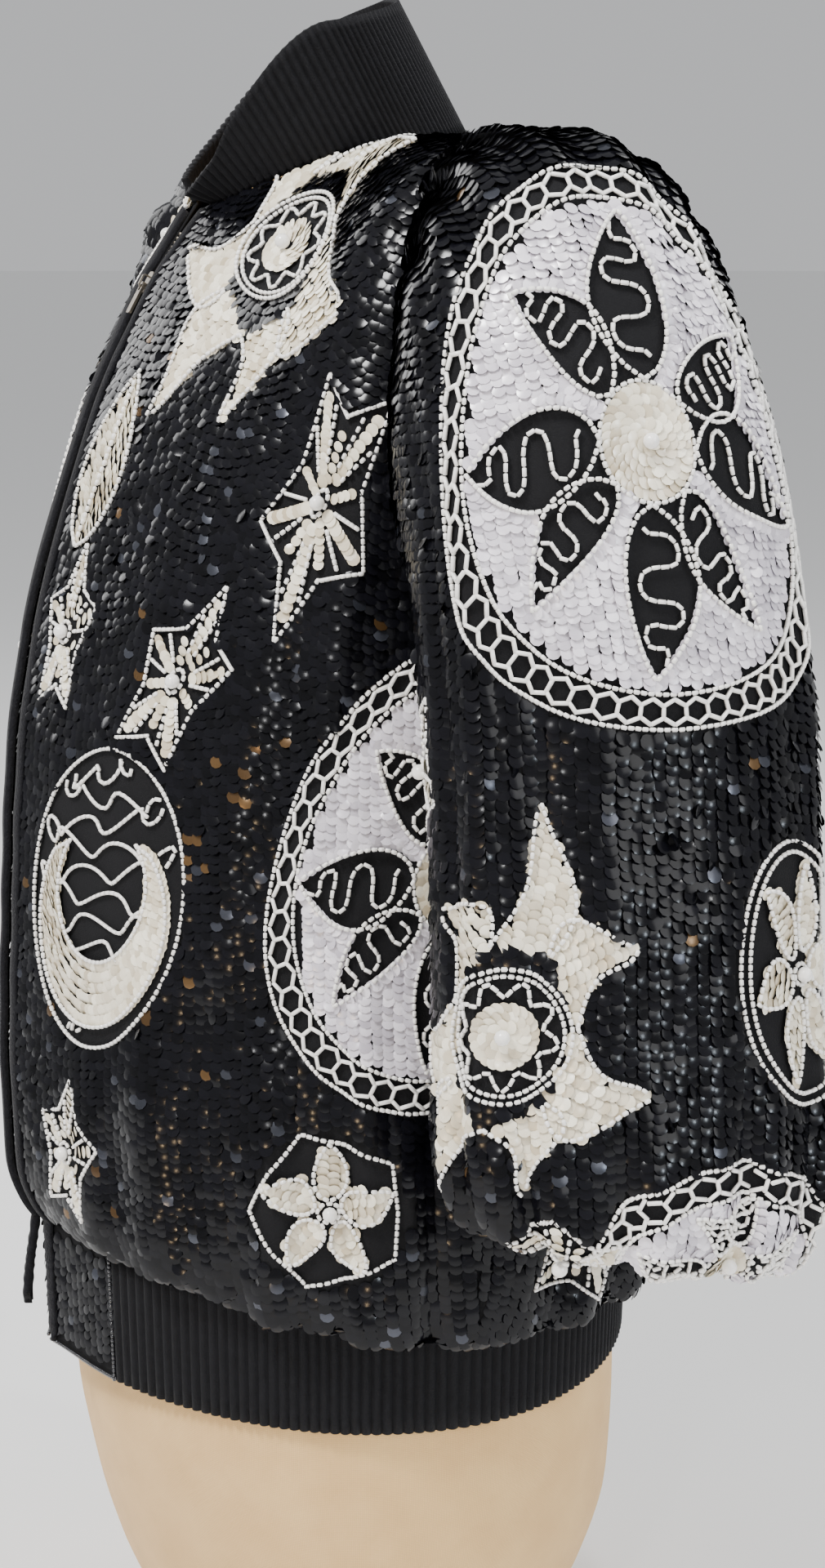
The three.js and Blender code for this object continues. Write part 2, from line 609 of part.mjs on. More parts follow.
function pullTab() {
  const outline = roundedBar(PULL.width, PULL.length, PULL_CORNER);
  const top = -PULL.length / 2 + PULL.bar;
  const half = PULL.eyeWidth / 2;
  const eye = new THREE.Path();
  eye.moveTo(-half, top);
  eye.lineTo(-half, top + PULL.eye);
  eye.lineTo(half, top + PULL.eye);
  eye.lineTo(half, top);
  eye.closePath();
  outline.holes.push(eye);
  const geometry = new THREE.ExtrudeGeometry(outline, {
    depth: PULL.thick,
    bevelEnabled: false,
    curveSegments: 4,
  });
  const hangs = PULL.length / 2 + PULL.from - PULL.bar / 2;
  return geometry.translate(0, hangs, SLIDER_TOP + PULL_CLEAR);
}

// A closed solid of stacked rings with a middle point at each end.
function stack(rings) {
  const around = rings[0].length;
  const points = rings.flat();
  const middle = (ring) =>
    ring.reduce((sum, p) => sum.add(p), new THREE.Vector3()).divideScalar(around);
  points.push(middle(rings[0]), middle(rings[rings.length - 1]));
  const at = (r, c) => r * around + (c % around);
  const triangles = [];
  for (let c = 0; c < around; c += 1) {
    for (let r = 0; r < rings.length - 1; r += 1) {
      triangles.push([at(r, c), at(r, c + 1), at(r + 1, c + 1)]);
      triangles.push([at(r, c), at(r + 1, c + 1), at(r + 1, c)]);
    }
    triangles.push([at(0, c + 1), at(0, c), points.length - 2]);
    triangles.push([at(rings.length - 1, c), at(rings.length - 1, c + 1), points.length - 1]);
  }
  return solid(points, triangles);
}

function formRing(size, z, shrink) {
  const around = spread(0, TAU, FORM_SIDES).slice(0, -1);
  return around.map((u) => {
    const c = Math.cos(u);
    const depth = (c > 0 ? size.front : size.back) - shrink;
    const x = (size.half - shrink) * power(Math.sin(u), FORM_SQUARE);
    return new THREE.Vector3(x, size.midY - depth * power(c, FORM_SQUARE), z);
  });
}

function dressForm() {
  const bottom = FORM[0].z;
  const top = FORM[FORM.length - 1].z;
  const levels = [bottom, ...spread(30, 250, 6), ...spread(290, 730, 6)]
    .concat([755, 774, 786, 796, 804, 818, top]);
  const rings = levels.map((z) => formRing(sizeAt(form, z), z, 0));
  const end = sizeAt(form, top);
  FORM_TOP.forEach(({ above, shrink }) => rings.push(formRing(end, top + above, shrink)));
  return stack(rings);
}

function formBase() {
  const size = { ...BASE, midY: 0 };
  const ring = (z, shrink) => formRing(size, z, shrink);
  const sides = [ring(BASE.edge, 0), ring(BASE.height - BASE.edge, 0)];
  return stack([ring(0, BASE.edge), ...sides, ring(BASE.height, BASE.edge)]);
}

function mirrored(geometry) {
  const copy = geometry.clone();
  copy.scale(-1, 1, 1);
  const index = Array.from(copy.index.array);
  for (let k = 0; k < index.length; k += 3) {
    [index[k + 1], index[k + 2]] = [index[k + 2], index[k + 1]];
  }
  copy.setIndex(index);
  copy.computeVertexNormals();
  return copy;
}

const group = new THREE.Group();

function add(name, geometry, look) {
  const mesh = new THREE.Mesh(geometry, new THREE.MeshStandardMaterial(COLOURS[look]));
  mesh.name = name;
  group.add(mesh);
  return mesh;
}

function addPair(name, geometry, look) {
  add(`${name}_left`, geometry, look);
  add(`${name}_right`, mirrored(geometry), look);
}

addPair("front", frontPanel(), "sequin");
add("back", backPanel(), "sequin");
addPair("sleeve", sleevePiece(), "sequin");
addPair("cuff", cuffPiece(), "rib");
add("collar", collarPiece(), "rib");
add("hem_band", hemBand(), "rib");
addPair("hem_tab", hemTab(), "sequin");
add("placket_left", placket(PLACKET.left), "velvet");
add("placket_right", placket(PLACKET.right), "velvet");
add("zip_tape_left", zipTape(1), "tape");
add("zip_tape_right", zipTape(-1), "tape");
for (const [name, geometry] of [
  ["zip_slider", sliderBody()],
  ["zip_arch", sliderArch()],
  ["zip_pull", pullTab()],
]) {
  add(name, geometry, "metal").applyMatrix4(sliderFrame());
}
add("dress_form", dressForm(), "linen");
add("form_base", formBase(), "base");

export default group;
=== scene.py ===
import math

import bmesh
import bpy
import numpy as np
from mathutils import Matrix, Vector


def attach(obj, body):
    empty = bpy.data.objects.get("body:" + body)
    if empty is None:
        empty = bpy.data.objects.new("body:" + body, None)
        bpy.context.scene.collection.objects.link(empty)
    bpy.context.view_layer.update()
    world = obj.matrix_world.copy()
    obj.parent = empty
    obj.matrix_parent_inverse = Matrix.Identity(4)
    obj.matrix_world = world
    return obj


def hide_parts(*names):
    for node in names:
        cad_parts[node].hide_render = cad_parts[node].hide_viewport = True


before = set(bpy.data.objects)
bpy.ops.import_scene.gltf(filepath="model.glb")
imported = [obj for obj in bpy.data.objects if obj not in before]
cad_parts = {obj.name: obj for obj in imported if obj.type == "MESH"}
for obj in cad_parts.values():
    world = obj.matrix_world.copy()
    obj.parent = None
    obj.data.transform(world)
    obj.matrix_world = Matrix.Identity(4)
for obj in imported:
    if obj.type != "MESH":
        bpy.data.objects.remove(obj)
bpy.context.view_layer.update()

MM = 0.001
TAU = 2 * math.pi
random = np.random.default_rng(7)


# Tables of the cut, the same as the solids'.
def pchip(xs, ys):
    """A monotone cubic through the points, as a function of an array."""
    step = np.diff(xs)
    slope = np.diff(ys) / step
    tangent = np.concatenate([slope[:1], np.zeros(len(xs) - 2), slope[-1:]])
    for k in range(1, len(xs) - 1):
        if slope[k - 1] * slope[k] > 0:
            w1 = 2 * step[k] + step[k - 1]
            w2 = step[k] + 2 * step[k - 1]
            tangent[k] = (w1 + w2) / (w1 / slope[k - 1] + w2 / slope[k])

    def value(at):
        x = np.clip(at, xs[0], xs[-1])
        k = np.clip(np.searchsorted(xs, x, side="right") - 1, 0, len(xs) - 2)
        t = (x - xs[k]) / step[k]
        start = (1 + 2 * t) * (1 - t) ** 2 * ys[k] + t * (1 - t) ** 2 * step[k] * tangent[k]
        end = t * t * (3 - 2 * t) * ys[k + 1] + t * t * (t - 1) * step[k] * tangent[k + 1]
        return start + end

    return value


def columns(names, rows):
    """Named columns of a table, each a smooth function of the first column."""
    data = np.array(rows, float)
    return {name: pchip(data[:, 0], data[:, k]) for k, name in enumerate(names.split()) if k}


BODY = columns("v half front back sideZ frontZ backZ square wedge", [
    (0.00, 75, 74, 56, 802, 776, 812, 2.0, 0.00),
    (0.09, 122, 101, 84, 805, 736, 790, 2.1, 0.12),
    (0.19, 180, 124, 106, 799, 684, 756, 2.3, 0.17),
    (0.28, 195, 141, 122, 748, 628, 704, 2.4, 0.15),
    (0.42, 198, 155, 134, 670, 562, 630, 2.4, 0.10),
    (0.54, 197, 164, 138, 596, 500, 565, 2.4, 0.07),
    (0.68, 198, 168, 143, 490, 430, 470, 2.4, 0.06),
    (0.82, 201, 171, 152, 375, 352, 365, 2.4, 0.06),
    (0.92, 198, 169, 160, 286, 295, 300, 2.4, 0.06),
    (0.965, 190, 163, 155, 246, 274, 262, 2.3, 0.05),
    (1.00, 173, 157, 139, 262, 264, 270, 2.2, 0.04),
])
HEM = columns("v half front back sideZ frontZ backZ", [
    (0.0, 171, 157, 137, 262, 264, 270),
    (1.0, 169, 155, 135, 194, 197, 208),
])
GAP = columns("v half", [(0.0, 14), (0.07, 6.4), (0.11, 5.6), (0.16, 3.4), (1.0, 3.4), (2.0, 3.0)])
SLEEVE = columns("s inX inZ outX outZ midY deep tilt", [
    (0.00, 197, 600, 190, 804, 18, 62, 0),
    (0.08, 208, 597, 214, 811, 19, 70, 0),
    (0.16, 209, 592, 242, 802, 22, 74, 0),
    (0.24, 209, 584, 266, 772, 26, 77, 0),
    (0.32, 208, 572, 284, 728, 31, 80, 0),
    (0.42, 206, 545, 299, 655, 37, 84, 0),
    (0.55, 203, 490, 306, 545, 45, 87, 0),
    (0.70, 204, 420, 309, 440, 48, 88, 0),
    (0.82, 206, 366, 312, 366, 50, 91, 4),
    (0.88, 208, 338, 309, 332, 51, 86, 10),
    (0.92, 214, 322, 300, 316, 51, 73, 15),
    (0.95, 221, 320, 288, 318, 50, 58, 12),
    (1.00, 222, 362, 278, 362, 48, 38, 2),
])
COLLAR = columns("deg tall rise out", [
    (-180, 72, 60, 0.00), (-135, 66, 68, 0.00), (-90, 52, 86, 0.00), (-45, 24, 94, 0.00),
    (-10, 13, 60, 0.00), (10, 14, 16, 0.06), (28, 20, 42, 0.08), (45, 36, 54, 0.08),
    (90, 66, 60, 0.08), (180, 72, 60, 0.00),
])
FORM = columns("z half front back midY", [
    (14.3, 104, 92, 92, 0), (40, 120, 108, 106, 0), (75, 140, 124, 121, 0),
    (120, 155, 136, 132, 0), (175, 162, 144, 133.2, 0), (230, 163, 143, 131.2, 0),
    (300, 146, 126, 106, 0), (400, 118, 98, 84, 0), (530, 138, 118, 92, 0),
    (660, 152, 88, 86, 0), (730, 140, 66, 70, 0), (772, 106, 48, 52, 0),
    (792, 70, 42, 42, 0), (804, 58, 40, 38, 0), (818, 52, 37, 34, -4), (834, 48, 34, 31, -8),
])
V_SHOULDER, V_UNDERARM = 0.19, 0.54
ARM_FRONT, ARM_BACK, ARM_SQUARE = 0.30, 0.55, 2.6
HEM_SQUARE, SLEEVE_SQUARE = 2.2, 2.3
SLEEVE_FOLD, ARMHOLE_BLEND, SLEEVE_HEAD = 0.03, 0.2, 16
CUFF_LENGTH, CUFF_INSIDE, CUFF_SQUEEZE = 50, 1.6, 0.93
TAB_WIDTH, RIB_WALL, CLOTH = 66, 2.4, 1.3


# Surfaces, each a function of two arrays that gives points in millimetres.
def power(value, n):
    return np.sign(value) * np.abs(value) ** (2 / n)


def smooth(t):
    t = np.clip(t, 0, 1)
    return t * t * (3 - 2 * t)


def signed(u):
    return u - TAU * np.round(u / TAU)


RING = ("half", "front", "back", "sideZ", "frontZ", "backZ")
RIDGE_HEIGHT, RIDGE_WIDTH = 9, 0.1
FRONT_SQUARE, LEVEL_POWER = 2.05, 1.6


def ridge(u, v):
    """The front stands out beside the zip, more so down to the chest."""
    return RIDGE_HEIGHT * np.clip((v - 0.1) / 0.3, 0, 1) * np.exp(-np.abs(signed(u)) / RIDGE_WIDTH)


def ring(u, half, front, back, side_z, front_z, back_z, square, wedge, extra):
    s, c = np.sin(u), np.cos(u)
    ahead = c > 0
    depth = np.where(ahead, front, back)
    fall = np.where(ahead, wedge * np.sin(2 * u) ** 2, 0)
    x = half * power(s, square)
    y = -depth * (power(c, np.where(ahead, np.minimum(square, FRONT_SQUARE), square)) - fall) - extra
    z = side_z + (np.where(ahead, front_z, back_z) - side_z) * np.abs(c) ** LEVEL_POWER
    return np.stack([x, y, z], -1)


def body(u, v):
    u, v = np.broadcast_arrays(u, v)
    return ring(u, *(BODY[k](v) for k in (*RING, "square", "wedge")), ridge(u, v))


def hem(u, v):
    u, v = np.broadcast_arrays(u, v)
    return ring(u, *(HEM[k](v) for k in RING), HEM_SQUARE, BODY["wedge"](1.0), ridge(u, 1))


def edge_angle(x, w):
    """The angle at which the front is x from the centre, over the body (w < 1) or the hem."""
    half = np.where(w < 1, BODY["half"](w), HEM["half"](w - 1))
    square = np.where(w < 1, BODY["square"](w), HEM_SQUARE)
    return np.sign(x) * (np.abs(x) / half) ** (square / 2)


def front_skin(x, w):
    """The front at x from the centre line: w from 0 to 1 down the body, and to 2 down the hem."""
    x, w = np.broadcast_arrays(np.asarray(x, float), np.asarray(w, float))
    u = edge_angle(x, w)
    return np.where((w < 1)[..., None], body(u, np.minimum(w, 1)), hem(u, np.maximum(w - 1, 0)))


def armhole_angle(phi):
    c = np.cos(phi)
    return math.pi / 2 + np.where(c > 0, ARM_BACK, ARM_FRONT) * power(c, ARM_SQUARE)


def armhole_level(phi):
    return V_SHOULDER + (V_UNDERARM - V_SHOULDER) * (1 - np.sin(phi)) / 2


def sleeve(phi, s):
    phi, s = np.broadcast_arrays(phi, s)
    size = {k: f(s) for k, f in SLEEVE.items()}
    wave = 0.6 * np.sin(5 * phi + 0.7) + 0.4 * np.sin(3 * phi + 2 + 2 * s)
    swell = 1 + SLEEVE_FOLD * np.sin(math.pi * np.clip(s / 0.95, 0, 1)) * wave
    e = power(np.cos(phi), SLEEVE_SQUARE) * swell
    f = power(np.sin(phi), SLEEVE_SQUARE) * swell
    x = (size["outX"] + size["inX"]) / 2 + (size["outX"] - size["inX"]) / 2 * f
    z = (size["outZ"] + size["inZ"]) / 2 + (size["outZ"] - size["inZ"]) / 2 * f - size["tilt"] * e
    far = np.stack([x, size["midY"] + size["deep"] * e, z], -1)
    t = np.clip(s / ARMHOLE_BLEND, 0, 1)
    near = body(armhole_angle(phi), armhole_level(phi))
    near[..., 0] += SLEEVE_HEAD * t * (2 - t)
    blend = smooth(t)[..., None]
    return near * (1 - blend) + far * blend


def cuff(phi, t):
    phi, t = np.broadcast_arrays(phi, t)
    top = sleeve(phi, np.ones_like(phi))
    middle = np.array([(SLEEVE["inX"](1.0) + SLEEVE["outX"](1.0)) / 2, SLEEVE["midY"](1.0), 0])
    snug = 1 - CUFF_INSIDE / SLEEVE["deep"](1.0) - (1 - CUFF_SQUEEZE) * np.sin(math.pi / 2 * t)
    out = middle + (top - middle) * snug[..., None]
    out[..., 2] = top[..., 2] - CUFF_LENGTH * t
    return out


def collar(u, t):
    u, t = np.broadcast_arrays(u, t)
    turn = signed(u)
    size = {k: f(np.degrees(turn)) for k, f in COLLAR.items()}
    rise = np.radians(size["rise"])
    lean = np.stack([size["out"] * np.sign(turn), -np.cos(rise), np.sin(rise)], -1)
    lean /= np.linalg.norm(lean, axis=-1, keepdims=True)
    return body(u, np.zeros_like(u)) + lean * (size["tall"] * t)[..., None]


def form(u, z):
    u, z = np.broadcast_arrays(u, z)
    size = {k: f(z) for k, f in FORM.items()}
    c = np.cos(u)
    depth = np.where(c > 0, size["front"], size["back"])
    return np.stack([size["half"] * power(np.sin(u), 2.2), size["midY"] - depth * power(c, 2.2), z], -1)


# Soft relief: how far the cloth stands out of its plain surface, in millimetres.
# Folds under the arm: the angle at mid height, the width and the height.
BODY_FOLDS = ((1.16, 0.05, 3.2), (1.02, 0.06, -2.6), (0.88, 0.07, 2.0))
# Bulges and dents: the height, the angle and its reach, the level and its reach.
BODY_BULGES = ((2.2, 0.62, 0.22, 0.83, 0.04), (-2.4, 0.90, 0.30, 0.76, 0.03))
SLEEVE_BULGES = ((-3.0, 1.9, 0.8, 0.58, 0.045), (1.6, 2.0, 0.9, 0.66, 0.05))
SLEEVE_FOLDS = (
    # Where it runs round the sleeve, its slant, width and height, and its middle and half length.
    (2.62, 0.30, 0.10, 4.2, 0.50, 0.26), (2.95, -0.20, 0.09, -4.0, 0.52, 0.24),
    (2.25, 0.25, 0.12, -3.2, 0.62, 0.22), (1.85, -0.30, 0.14, 2.6, 0.66, 0.20),
    (0.55, 0.25, 0.13, 3.4, 0.58, 0.24), (0.15, -0.25, 0.11, -3.6, 0.55, 0.22),
    (1.20, 0.35, 0.16, -2.4, 0.40, 0.14), (5.9, 0.2, 0.12, 3.0, 0.60, 0.2),
)
GATHER_HEIGHT, WAVE_HEIGHT = 2.6, 1.0
HEAD_GATHER, HEAD_PLEAT = 2.8, 2.0


def bell(x, middle, width):
    return np.exp(-(((x - middle) / width) ** 2))


def bulges(table, u, v):
    return sum(height * bell(u, at, wide) * bell(v, level, tall) for height, at, wide, level, tall in table)


def body_relief(u, v):
    """Gathers above the band, soft upright waves, and folds that run down from the underarm."""
    aside = smooth(np.abs(u) / 0.8)
    pulled = smooth((v - 0.66) / 0.24) * smooth((1.0 - v) / 0.05)
    gathers = np.sin(21 * u + 1.4 * np.sin(3.1 * u) + 0.6) + 0.55 * np.sin(37 * u + 2.1 * np.sin(5 * u))
    calm = smooth((v - 0.2) / 0.2) * smooth((0.95 - v) / 0.2) * smooth(np.abs(u) / 0.3)
    waves = np.sin(11 * u + 2.6 * v + 0.8 * np.sin(4 * v)) + 0.5 * np.sin(19 * u - 3 * v)
    out = GATHER_HEIGHT * pulled * aside * gathers + WAVE_HEIGHT * calm * waves
    for turn, width, height in BODY_FOLDS:
        line = turn - 0.55 * (v - 0.5) - 0.25 * (v - 0.5) ** 2
        out += height * bell(u, line, width) * bell(v, 0.6, 0.11)
    return out + bulges(BODY_BULGES, u, v)


def sleeve_relief(phi, s):
    """Gathers at the head and above the cuff, upright folds, and one shallow dent."""
    turn = np.mod(phi, TAU)
    top = smooth((np.sin(phi) - 0.1) / 0.5)
    out = HEAD_GATHER * bell(s, 0.045, 0.06) * top * np.sin(30 * phi + 1.5 * np.sin(3 * phi) + 6 * s)
    out += HEAD_PLEAT * bell(s, 0.17, 0.12) * top * np.sin(18 * phi + 1.2 + 3 * s)
    blouse = smooth((s - 0.70) / 0.16) * smooth((1.0 - s) / 0.06)
    out += blouse * (2.8 * np.sin(13 * phi + np.sin(2 * phi)) + 1.5 * np.sin(23 * phi + 1.0))
    for line, slant, width, height, middle, reach in SLEEVE_FOLDS:
        out += height * bell(turn, line + slant * (s - middle), width) * bell(s, middle, reach)
    outer = smooth((np.sin(phi) + 0.75) / 0.6)
    return (out + bulges(SLEEVE_BULGES, turn, s)) * outer


# A skin: a fine table of a surface, with what is needed to lay cloth, sequins and beads on it.
# How Skin.solve searches, and how far off a neighbour is looked at for a direction.
NEWTON_ROUNDS, NEWTON_STEP, FURTHEST_U, FURTHEST_V = 9, 0.003, 0.3, 0.15
NEIGHBOUR = 0.002


def unit(vectors):
    return vectors / np.maximum(np.linalg.norm(vectors, axis=-1, keepdims=True), 1e-9)


class Skin:
    """flip is -1 where the angle runs the other way round, so that x is to the right on all."""

    def __init__(self, surface, us, vs, relief=None, flip=1):
        self.us, self.vs = us, vs
        u, v = np.meshgrid(us, vs)
        points = surface(u, v)
        self.flip = flip
        if relief is not None:
            points = points + self.facing(points) * relief(u, v)[..., None]
        self.points = points
        self.normals = self.facing(points)
        self.across = self.lengths(points, 1)
        self.along = self.lengths(points, 0)

    def facing(self, points):
        du = np.gradient(points, self.us, axis=1)
        dv = np.gradient(points, self.vs, axis=0)
        return unit(np.cross(dv, du)) * self.flip

    @staticmethod
    def lengths(points, axis):
        steps = np.linalg.norm(np.diff(points, axis=axis), axis=-1)
        start = np.zeros_like(points[..., 0]).take([0], axis=axis)
        return np.concatenate([start, np.cumsum(steps, axis=axis)], axis=axis)

    def read(self, values, u, v):
        """Values of the table between its points."""
        u = np.clip(u, self.us[0], self.us[-1])
        v = np.clip(v, self.vs[0], self.vs[-1])
        i = np.clip(np.searchsorted(self.us, u, side="right") - 1, 0, len(self.us) - 2)
        j = np.clip(np.searchsorted(self.vs, v, side="right") - 1, 0, len(self.vs) - 2)
        s = (u - self.us[i]) / (self.us[i + 1] - self.us[i])
        t = (v - self.vs[j]) / (self.vs[j + 1] - self.vs[j])
        if values.ndim == 3:
            s, t = s[..., None], t[..., None]
        low = values[j, i] * (1 - s) + values[j, i + 1] * s
        high = values[j + 1, i] * (1 - s) + values[j + 1, i + 1] * s
        return low * (1 - t) + high * t

    def local(self, u, v, u0, v0):
        """Flat coordinates round a place: x across and y down the cloth, in millimetres."""
        x = self.read(self.across, u, v) - self.read(self.across, np.full_like(u, u0), v)
        y = self.read(self.along, u, v) - self.read(self.along, u, np.full_like(v, v0))
        return x * self.flip, y

    def solve(self, x, y, u0, v0):
        """The surface parameters of flat coordinates round a place, by Newton's steps."""
        u = np.full_like(x, u0)
        v = np.full_like(x, v0)
        step = NEWTON_STEP
        for _ in range(NEWTON_ROUNDS):
            fx, fy = self.local(u, v, u0, v0)
            ax, ay = self.local(u + step, v, u0, v0)
            bx, by = self.local(u, v + step, u0, v0)
            a, b, c, d = (ax - fx) / step, (bx - fx) / step, (ay - fy) / step, (by - fy) / step
            size = a * d - b * c
            size = np.where(np.abs(size) < 1e-3, 1e-3, size)
            u = u + np.clip((d * (x - fx) - b * (y - fy)) / size, -FURTHEST_U, FURTHEST_U)
            v = v + np.clip((a * (y - fy) - c * (x - fx)) / size, -FURTHEST_V, FURTHEST_V)
            u = np.clip(u, self.us[0], self.us[-1])
            v = np.clip(v, self.vs[0], self.vs[-1])
        return u, v

    def frames(self, u, v, x, y):
        """Places with their normal and a direction that is given in flat coordinates."""
        step = NEIGHBOUR
        at = self.read(self.points, u, v)
        normal = unit(self.read(self.normals, u, v))
        across = unit(self.read(self.points, u + step, v) - self.read(self.points, u - step, v))
        down = unit(self.read(self.points, u, v + step) - self.read(self.points, u, v - step))
        way = across * x[..., None] * self.flip + down * y[..., None]
        way = unit(way - normal * (way * normal).sum(-1, keepdims=True))
        return at, way, normal

    def downward(self, u, v):
        return self.frames(u, v, np.zeros_like(u), np.ones_like(u))


def grid_levels(*parts):
    return np.unique(np.concatenate([np.linspace(a, b, n) for a, b, n in parts]).round(6))


PAST_CENTRE = 0.06
BODY_SKIN = Skin(
    body,
    grid_levels((-PAST_CENTRE, 0.3, 46), (0.3, math.pi + PAST_CENTRE, 262)),
    grid_levels((0, 0.86, 170), (0.86, 1.0, 70)),
    body_relief,
)
SLEEVE_SKIN = Skin(
    sleeve,
    np.linspace(-math.pi / 2, 1.5 * math.pi, 320),
    grid_levels((0, 0.12, 40), (0.12, 0.8, 110), (0.8, 1.0, 80)),
    sleeve_relief,
    flip=-1,
)
HEM_SKIN = Skin(hem, np.linspace(0, math.pi, 240), np.linspace(0, 1, 12))


# Meshes and objects.
def make_object(name, points, faces, materials, slots=None, uv=None, mirror=False):
    """An object from arrays: points in millimetres, triangles or quads, and a slot for each face."""
    points = np.asarray(points, float).reshape(-1, 3) * MM
    faces = np.asarray(faces, np.int32)
    if mirror:
        points = points * (-1, 1, 1)
        faces = faces[:, ::-1]
        uv = None if uv is None else uv[:, ::-1]
    mesh = bpy.data.meshes.new(name)
    mesh.vertices.add(len(points))
    mesh.vertices.foreach_set("co", points.astype(np.float32).ravel())
    mesh.loops.add(faces.size)
    mesh.loops.foreach_set("vertex_index", faces.ravel())
    mesh.polygons.add(len(faces))
    mesh.polygons.foreach_set("loop_start", np.arange(0, faces.size, faces.shape[1], dtype=np.int32))
    if slots is not None:
        mesh.polygons.foreach_set("material_index", np.asarray(slots, np.int32))
    if uv is not None:
        layer = mesh.uv_layers.new(name="cloth")
        layer.uv.foreach_set("vector", np.asarray(uv, np.float32).ravel())
    mesh.update(calc_edges=True)
    mesh.validate()
    mesh.polygons.foreach_set("use_smooth", np.full(len(faces), True))
    for material in materials:
        mesh.materials.append(material)
    obj = bpy.data.objects.new(name, mesh)
    bpy.context.scene.collection.objects.link(obj)
    return obj


def faces_of(*corners):
    """Faces from one array, or one number, for each of their corners."""
    return np.stack(np.broadcast_arrays(*corners), -1).reshape(-1, len(corners))


def shell_faces(rows, cols, closed):
    """Quads of a wall of two layers on a grid, with rims: outer layer first."""
    back = rows * cols
    last = back - cols
    r = np.arange(rows - 1)[:, None] * cols
    c = np.arange(cols if closed else cols - 1)
    n = (c + 1) % cols
    outer = faces_of(r + c, r + c + cols, r + n + cols, r + n)
    quads = [outer, outer[:, ::-1] + back]
    quads.append(faces_of(n, n + back, c + back, c))
    quads.append(faces_of(last + c, last + c + back, last + n + back, last + n))
    if not closed:
        e = r + cols - 1
        quads.append(faces_of(r, r + back, r + cols + back, r + cols))
        quads.append(faces_of(e + cols, e + cols + back, e + back, e))
    return np.concatenate(quads)


def settle(obj, nodes=()):
    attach(obj, "jacket")
    if nodes:
        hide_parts(*nodes)


NARROWEST = 10.5
LEAST_SHARE = 0.31


def declare_sheet(points, closed):
    """Works out a shell's own measure, longest row by longest column, and its area, and keeps none of it."""
    if closed:
        points = np.concatenate([points, points[:, :1]], 1)
    a = points[1:, 1:] - points[:-1, :-1]
    b = points[1:, :-1] - points[:-1, 1:]
    area = float(np.linalg.norm(np.cross(a, b), axis=-1).sum() / 2) * MM * MM
    width = max(Skin.lengths(points, 1)[:, -1].max(), NARROWEST) * MM
    length = Skin.lengths(points, 0)[-1].max() * MM
    area = min(max(area, LEAST_SHARE * width * length), width * length)


def cloth(name, node, points, normals, depth, look, cut=None,
          lift=0.0, closed=False, mirror=False, flip=False):
    """A thin wall on a grid of points, with flat coordinates as its UV map."""
    faces = shell_faces(*points.shape[:2], closed)
    if flip:
        faces = faces[:, ::-1]
    flat = np.stack([Skin.lengths(points, 1), Skin.lengths(points, 0)], -1).reshape(-1, 2) * MM
    layers = [points + normals * lift, points + normals * (lift - depth)]
    both = np.concatenate([layer.reshape(-1, 3) for layer in layers])
    obj = make_object(name, both, faces, [look], uv=np.concatenate([flat, flat])[faces], mirror=mirror)
    settle(obj, [node])
    declare_sheet(points if cut is None else cut, closed)


# Materials: each from small node helpers, with its detail at real scale.
class Look:
    """A material under construction, with its Principled shader."""

    def __init__(self, name, color, roughness, **sockets):
        self.material = bpy.data.materials.new(name)
        self.material.use_nodes = True
        self.tree = self.material.node_tree
        self.shader = self.tree.nodes["Principled BSDF"]
        self.put("Base Color", (*color, 1))
        self.put("Roughness", roughness)
        for socket, value in sockets.items():
            self.put(socket.replace("_", " "), value)

    def feed(self, socket, value):
        """Sets a socket to a value, or links another node's output to it."""
        if isinstance(value, bpy.types.NodeSocket):
            self.tree.links.new(value, socket)
        else:
            socket.default_value = value

    def put(self, socket, value):
        self.feed(self.shader.inputs[socket], value)

    def node(self, kind, result, inputs, **settings):
        node = self.tree.nodes.new(kind)
        for key, value in settings.items():
            setattr(node, key, value)
        for key, value in inputs.items():
            self.feed(node.inputs[key], value)
        return node.outputs[result]

    def noise(self, scale, detail=3.0, kind="Object"):
        place = self.node("ShaderNodeTexCoord", kind, {})
        return self.node("ShaderNodeTexNoise", "Fac", {"Vector": place, "Scale": scale, "Detail": detail})

    def weave(self, per_metre, direction):
        inputs = {"Vector": self.node("ShaderNodeTexCoord", "UV", {}), "Scale": per_metre * TAU / 20,
                  "Distortion": 0.6, "Detail": 1.0}
        return self.node("ShaderNodeTexWave", "Fac", inputs, bands_direction=direction)

    def span(self, factor, low, high):
        return self.node("ShaderNodeMapRange", "Result", {"Value": factor, "To Min": low, "To Max": high})

    def mix(self, factor, first, second):
        inputs = {"A": (*first, 1), "B": (*second, 1), "Factor": factor}
        return self.node("ShaderNodeMix", "Result", inputs, data_type="RGBA")

    def maths(self, operation, first, second):
        return self.node("ShaderNodeMath", "Value", {0: first, 1: second}, operation=operation)

    def bump(self, height, distance, strength=1.0):
        inputs = {"Height": height, "Distance": distance, "Strength": strength}
        self.put("Normal", self.node("ShaderNodeBump", "Normal", inputs))

    def tone(self, scale, detail, low, high):
        """The colour drifts between two tones."""
        self.put("Base Color", self.mix(self.noise(scale, detail), low, high))
        return self

    def gloss(self, scale, detail, low, high):
        self.put("Roughness", self.span(self.noise(scale, detail), low, high))
        return self

    def grain(self, scale, detail, depth):
        self.bump(self.noise(scale, detail), depth)
        return self


def sequin_look(name, color, tint, roughness, **sockets):
    """Glossy film: each sequin has its own tone, and the gloss drifts over the cloth."""
    look = Look(name, color, roughness, **sockets)
    each = look.node("ShaderNodeNewGeometry", "Random Per Island", {})
    tone = look.maths("MULTIPLY", look.maths("ADD", each, look.noise(45)), 0.62)
    look.put("Base Color", look.mix(tone, color, tint))
    return look.gloss(140, 2.0, roughness * 0.7, roughness * 1.5).material


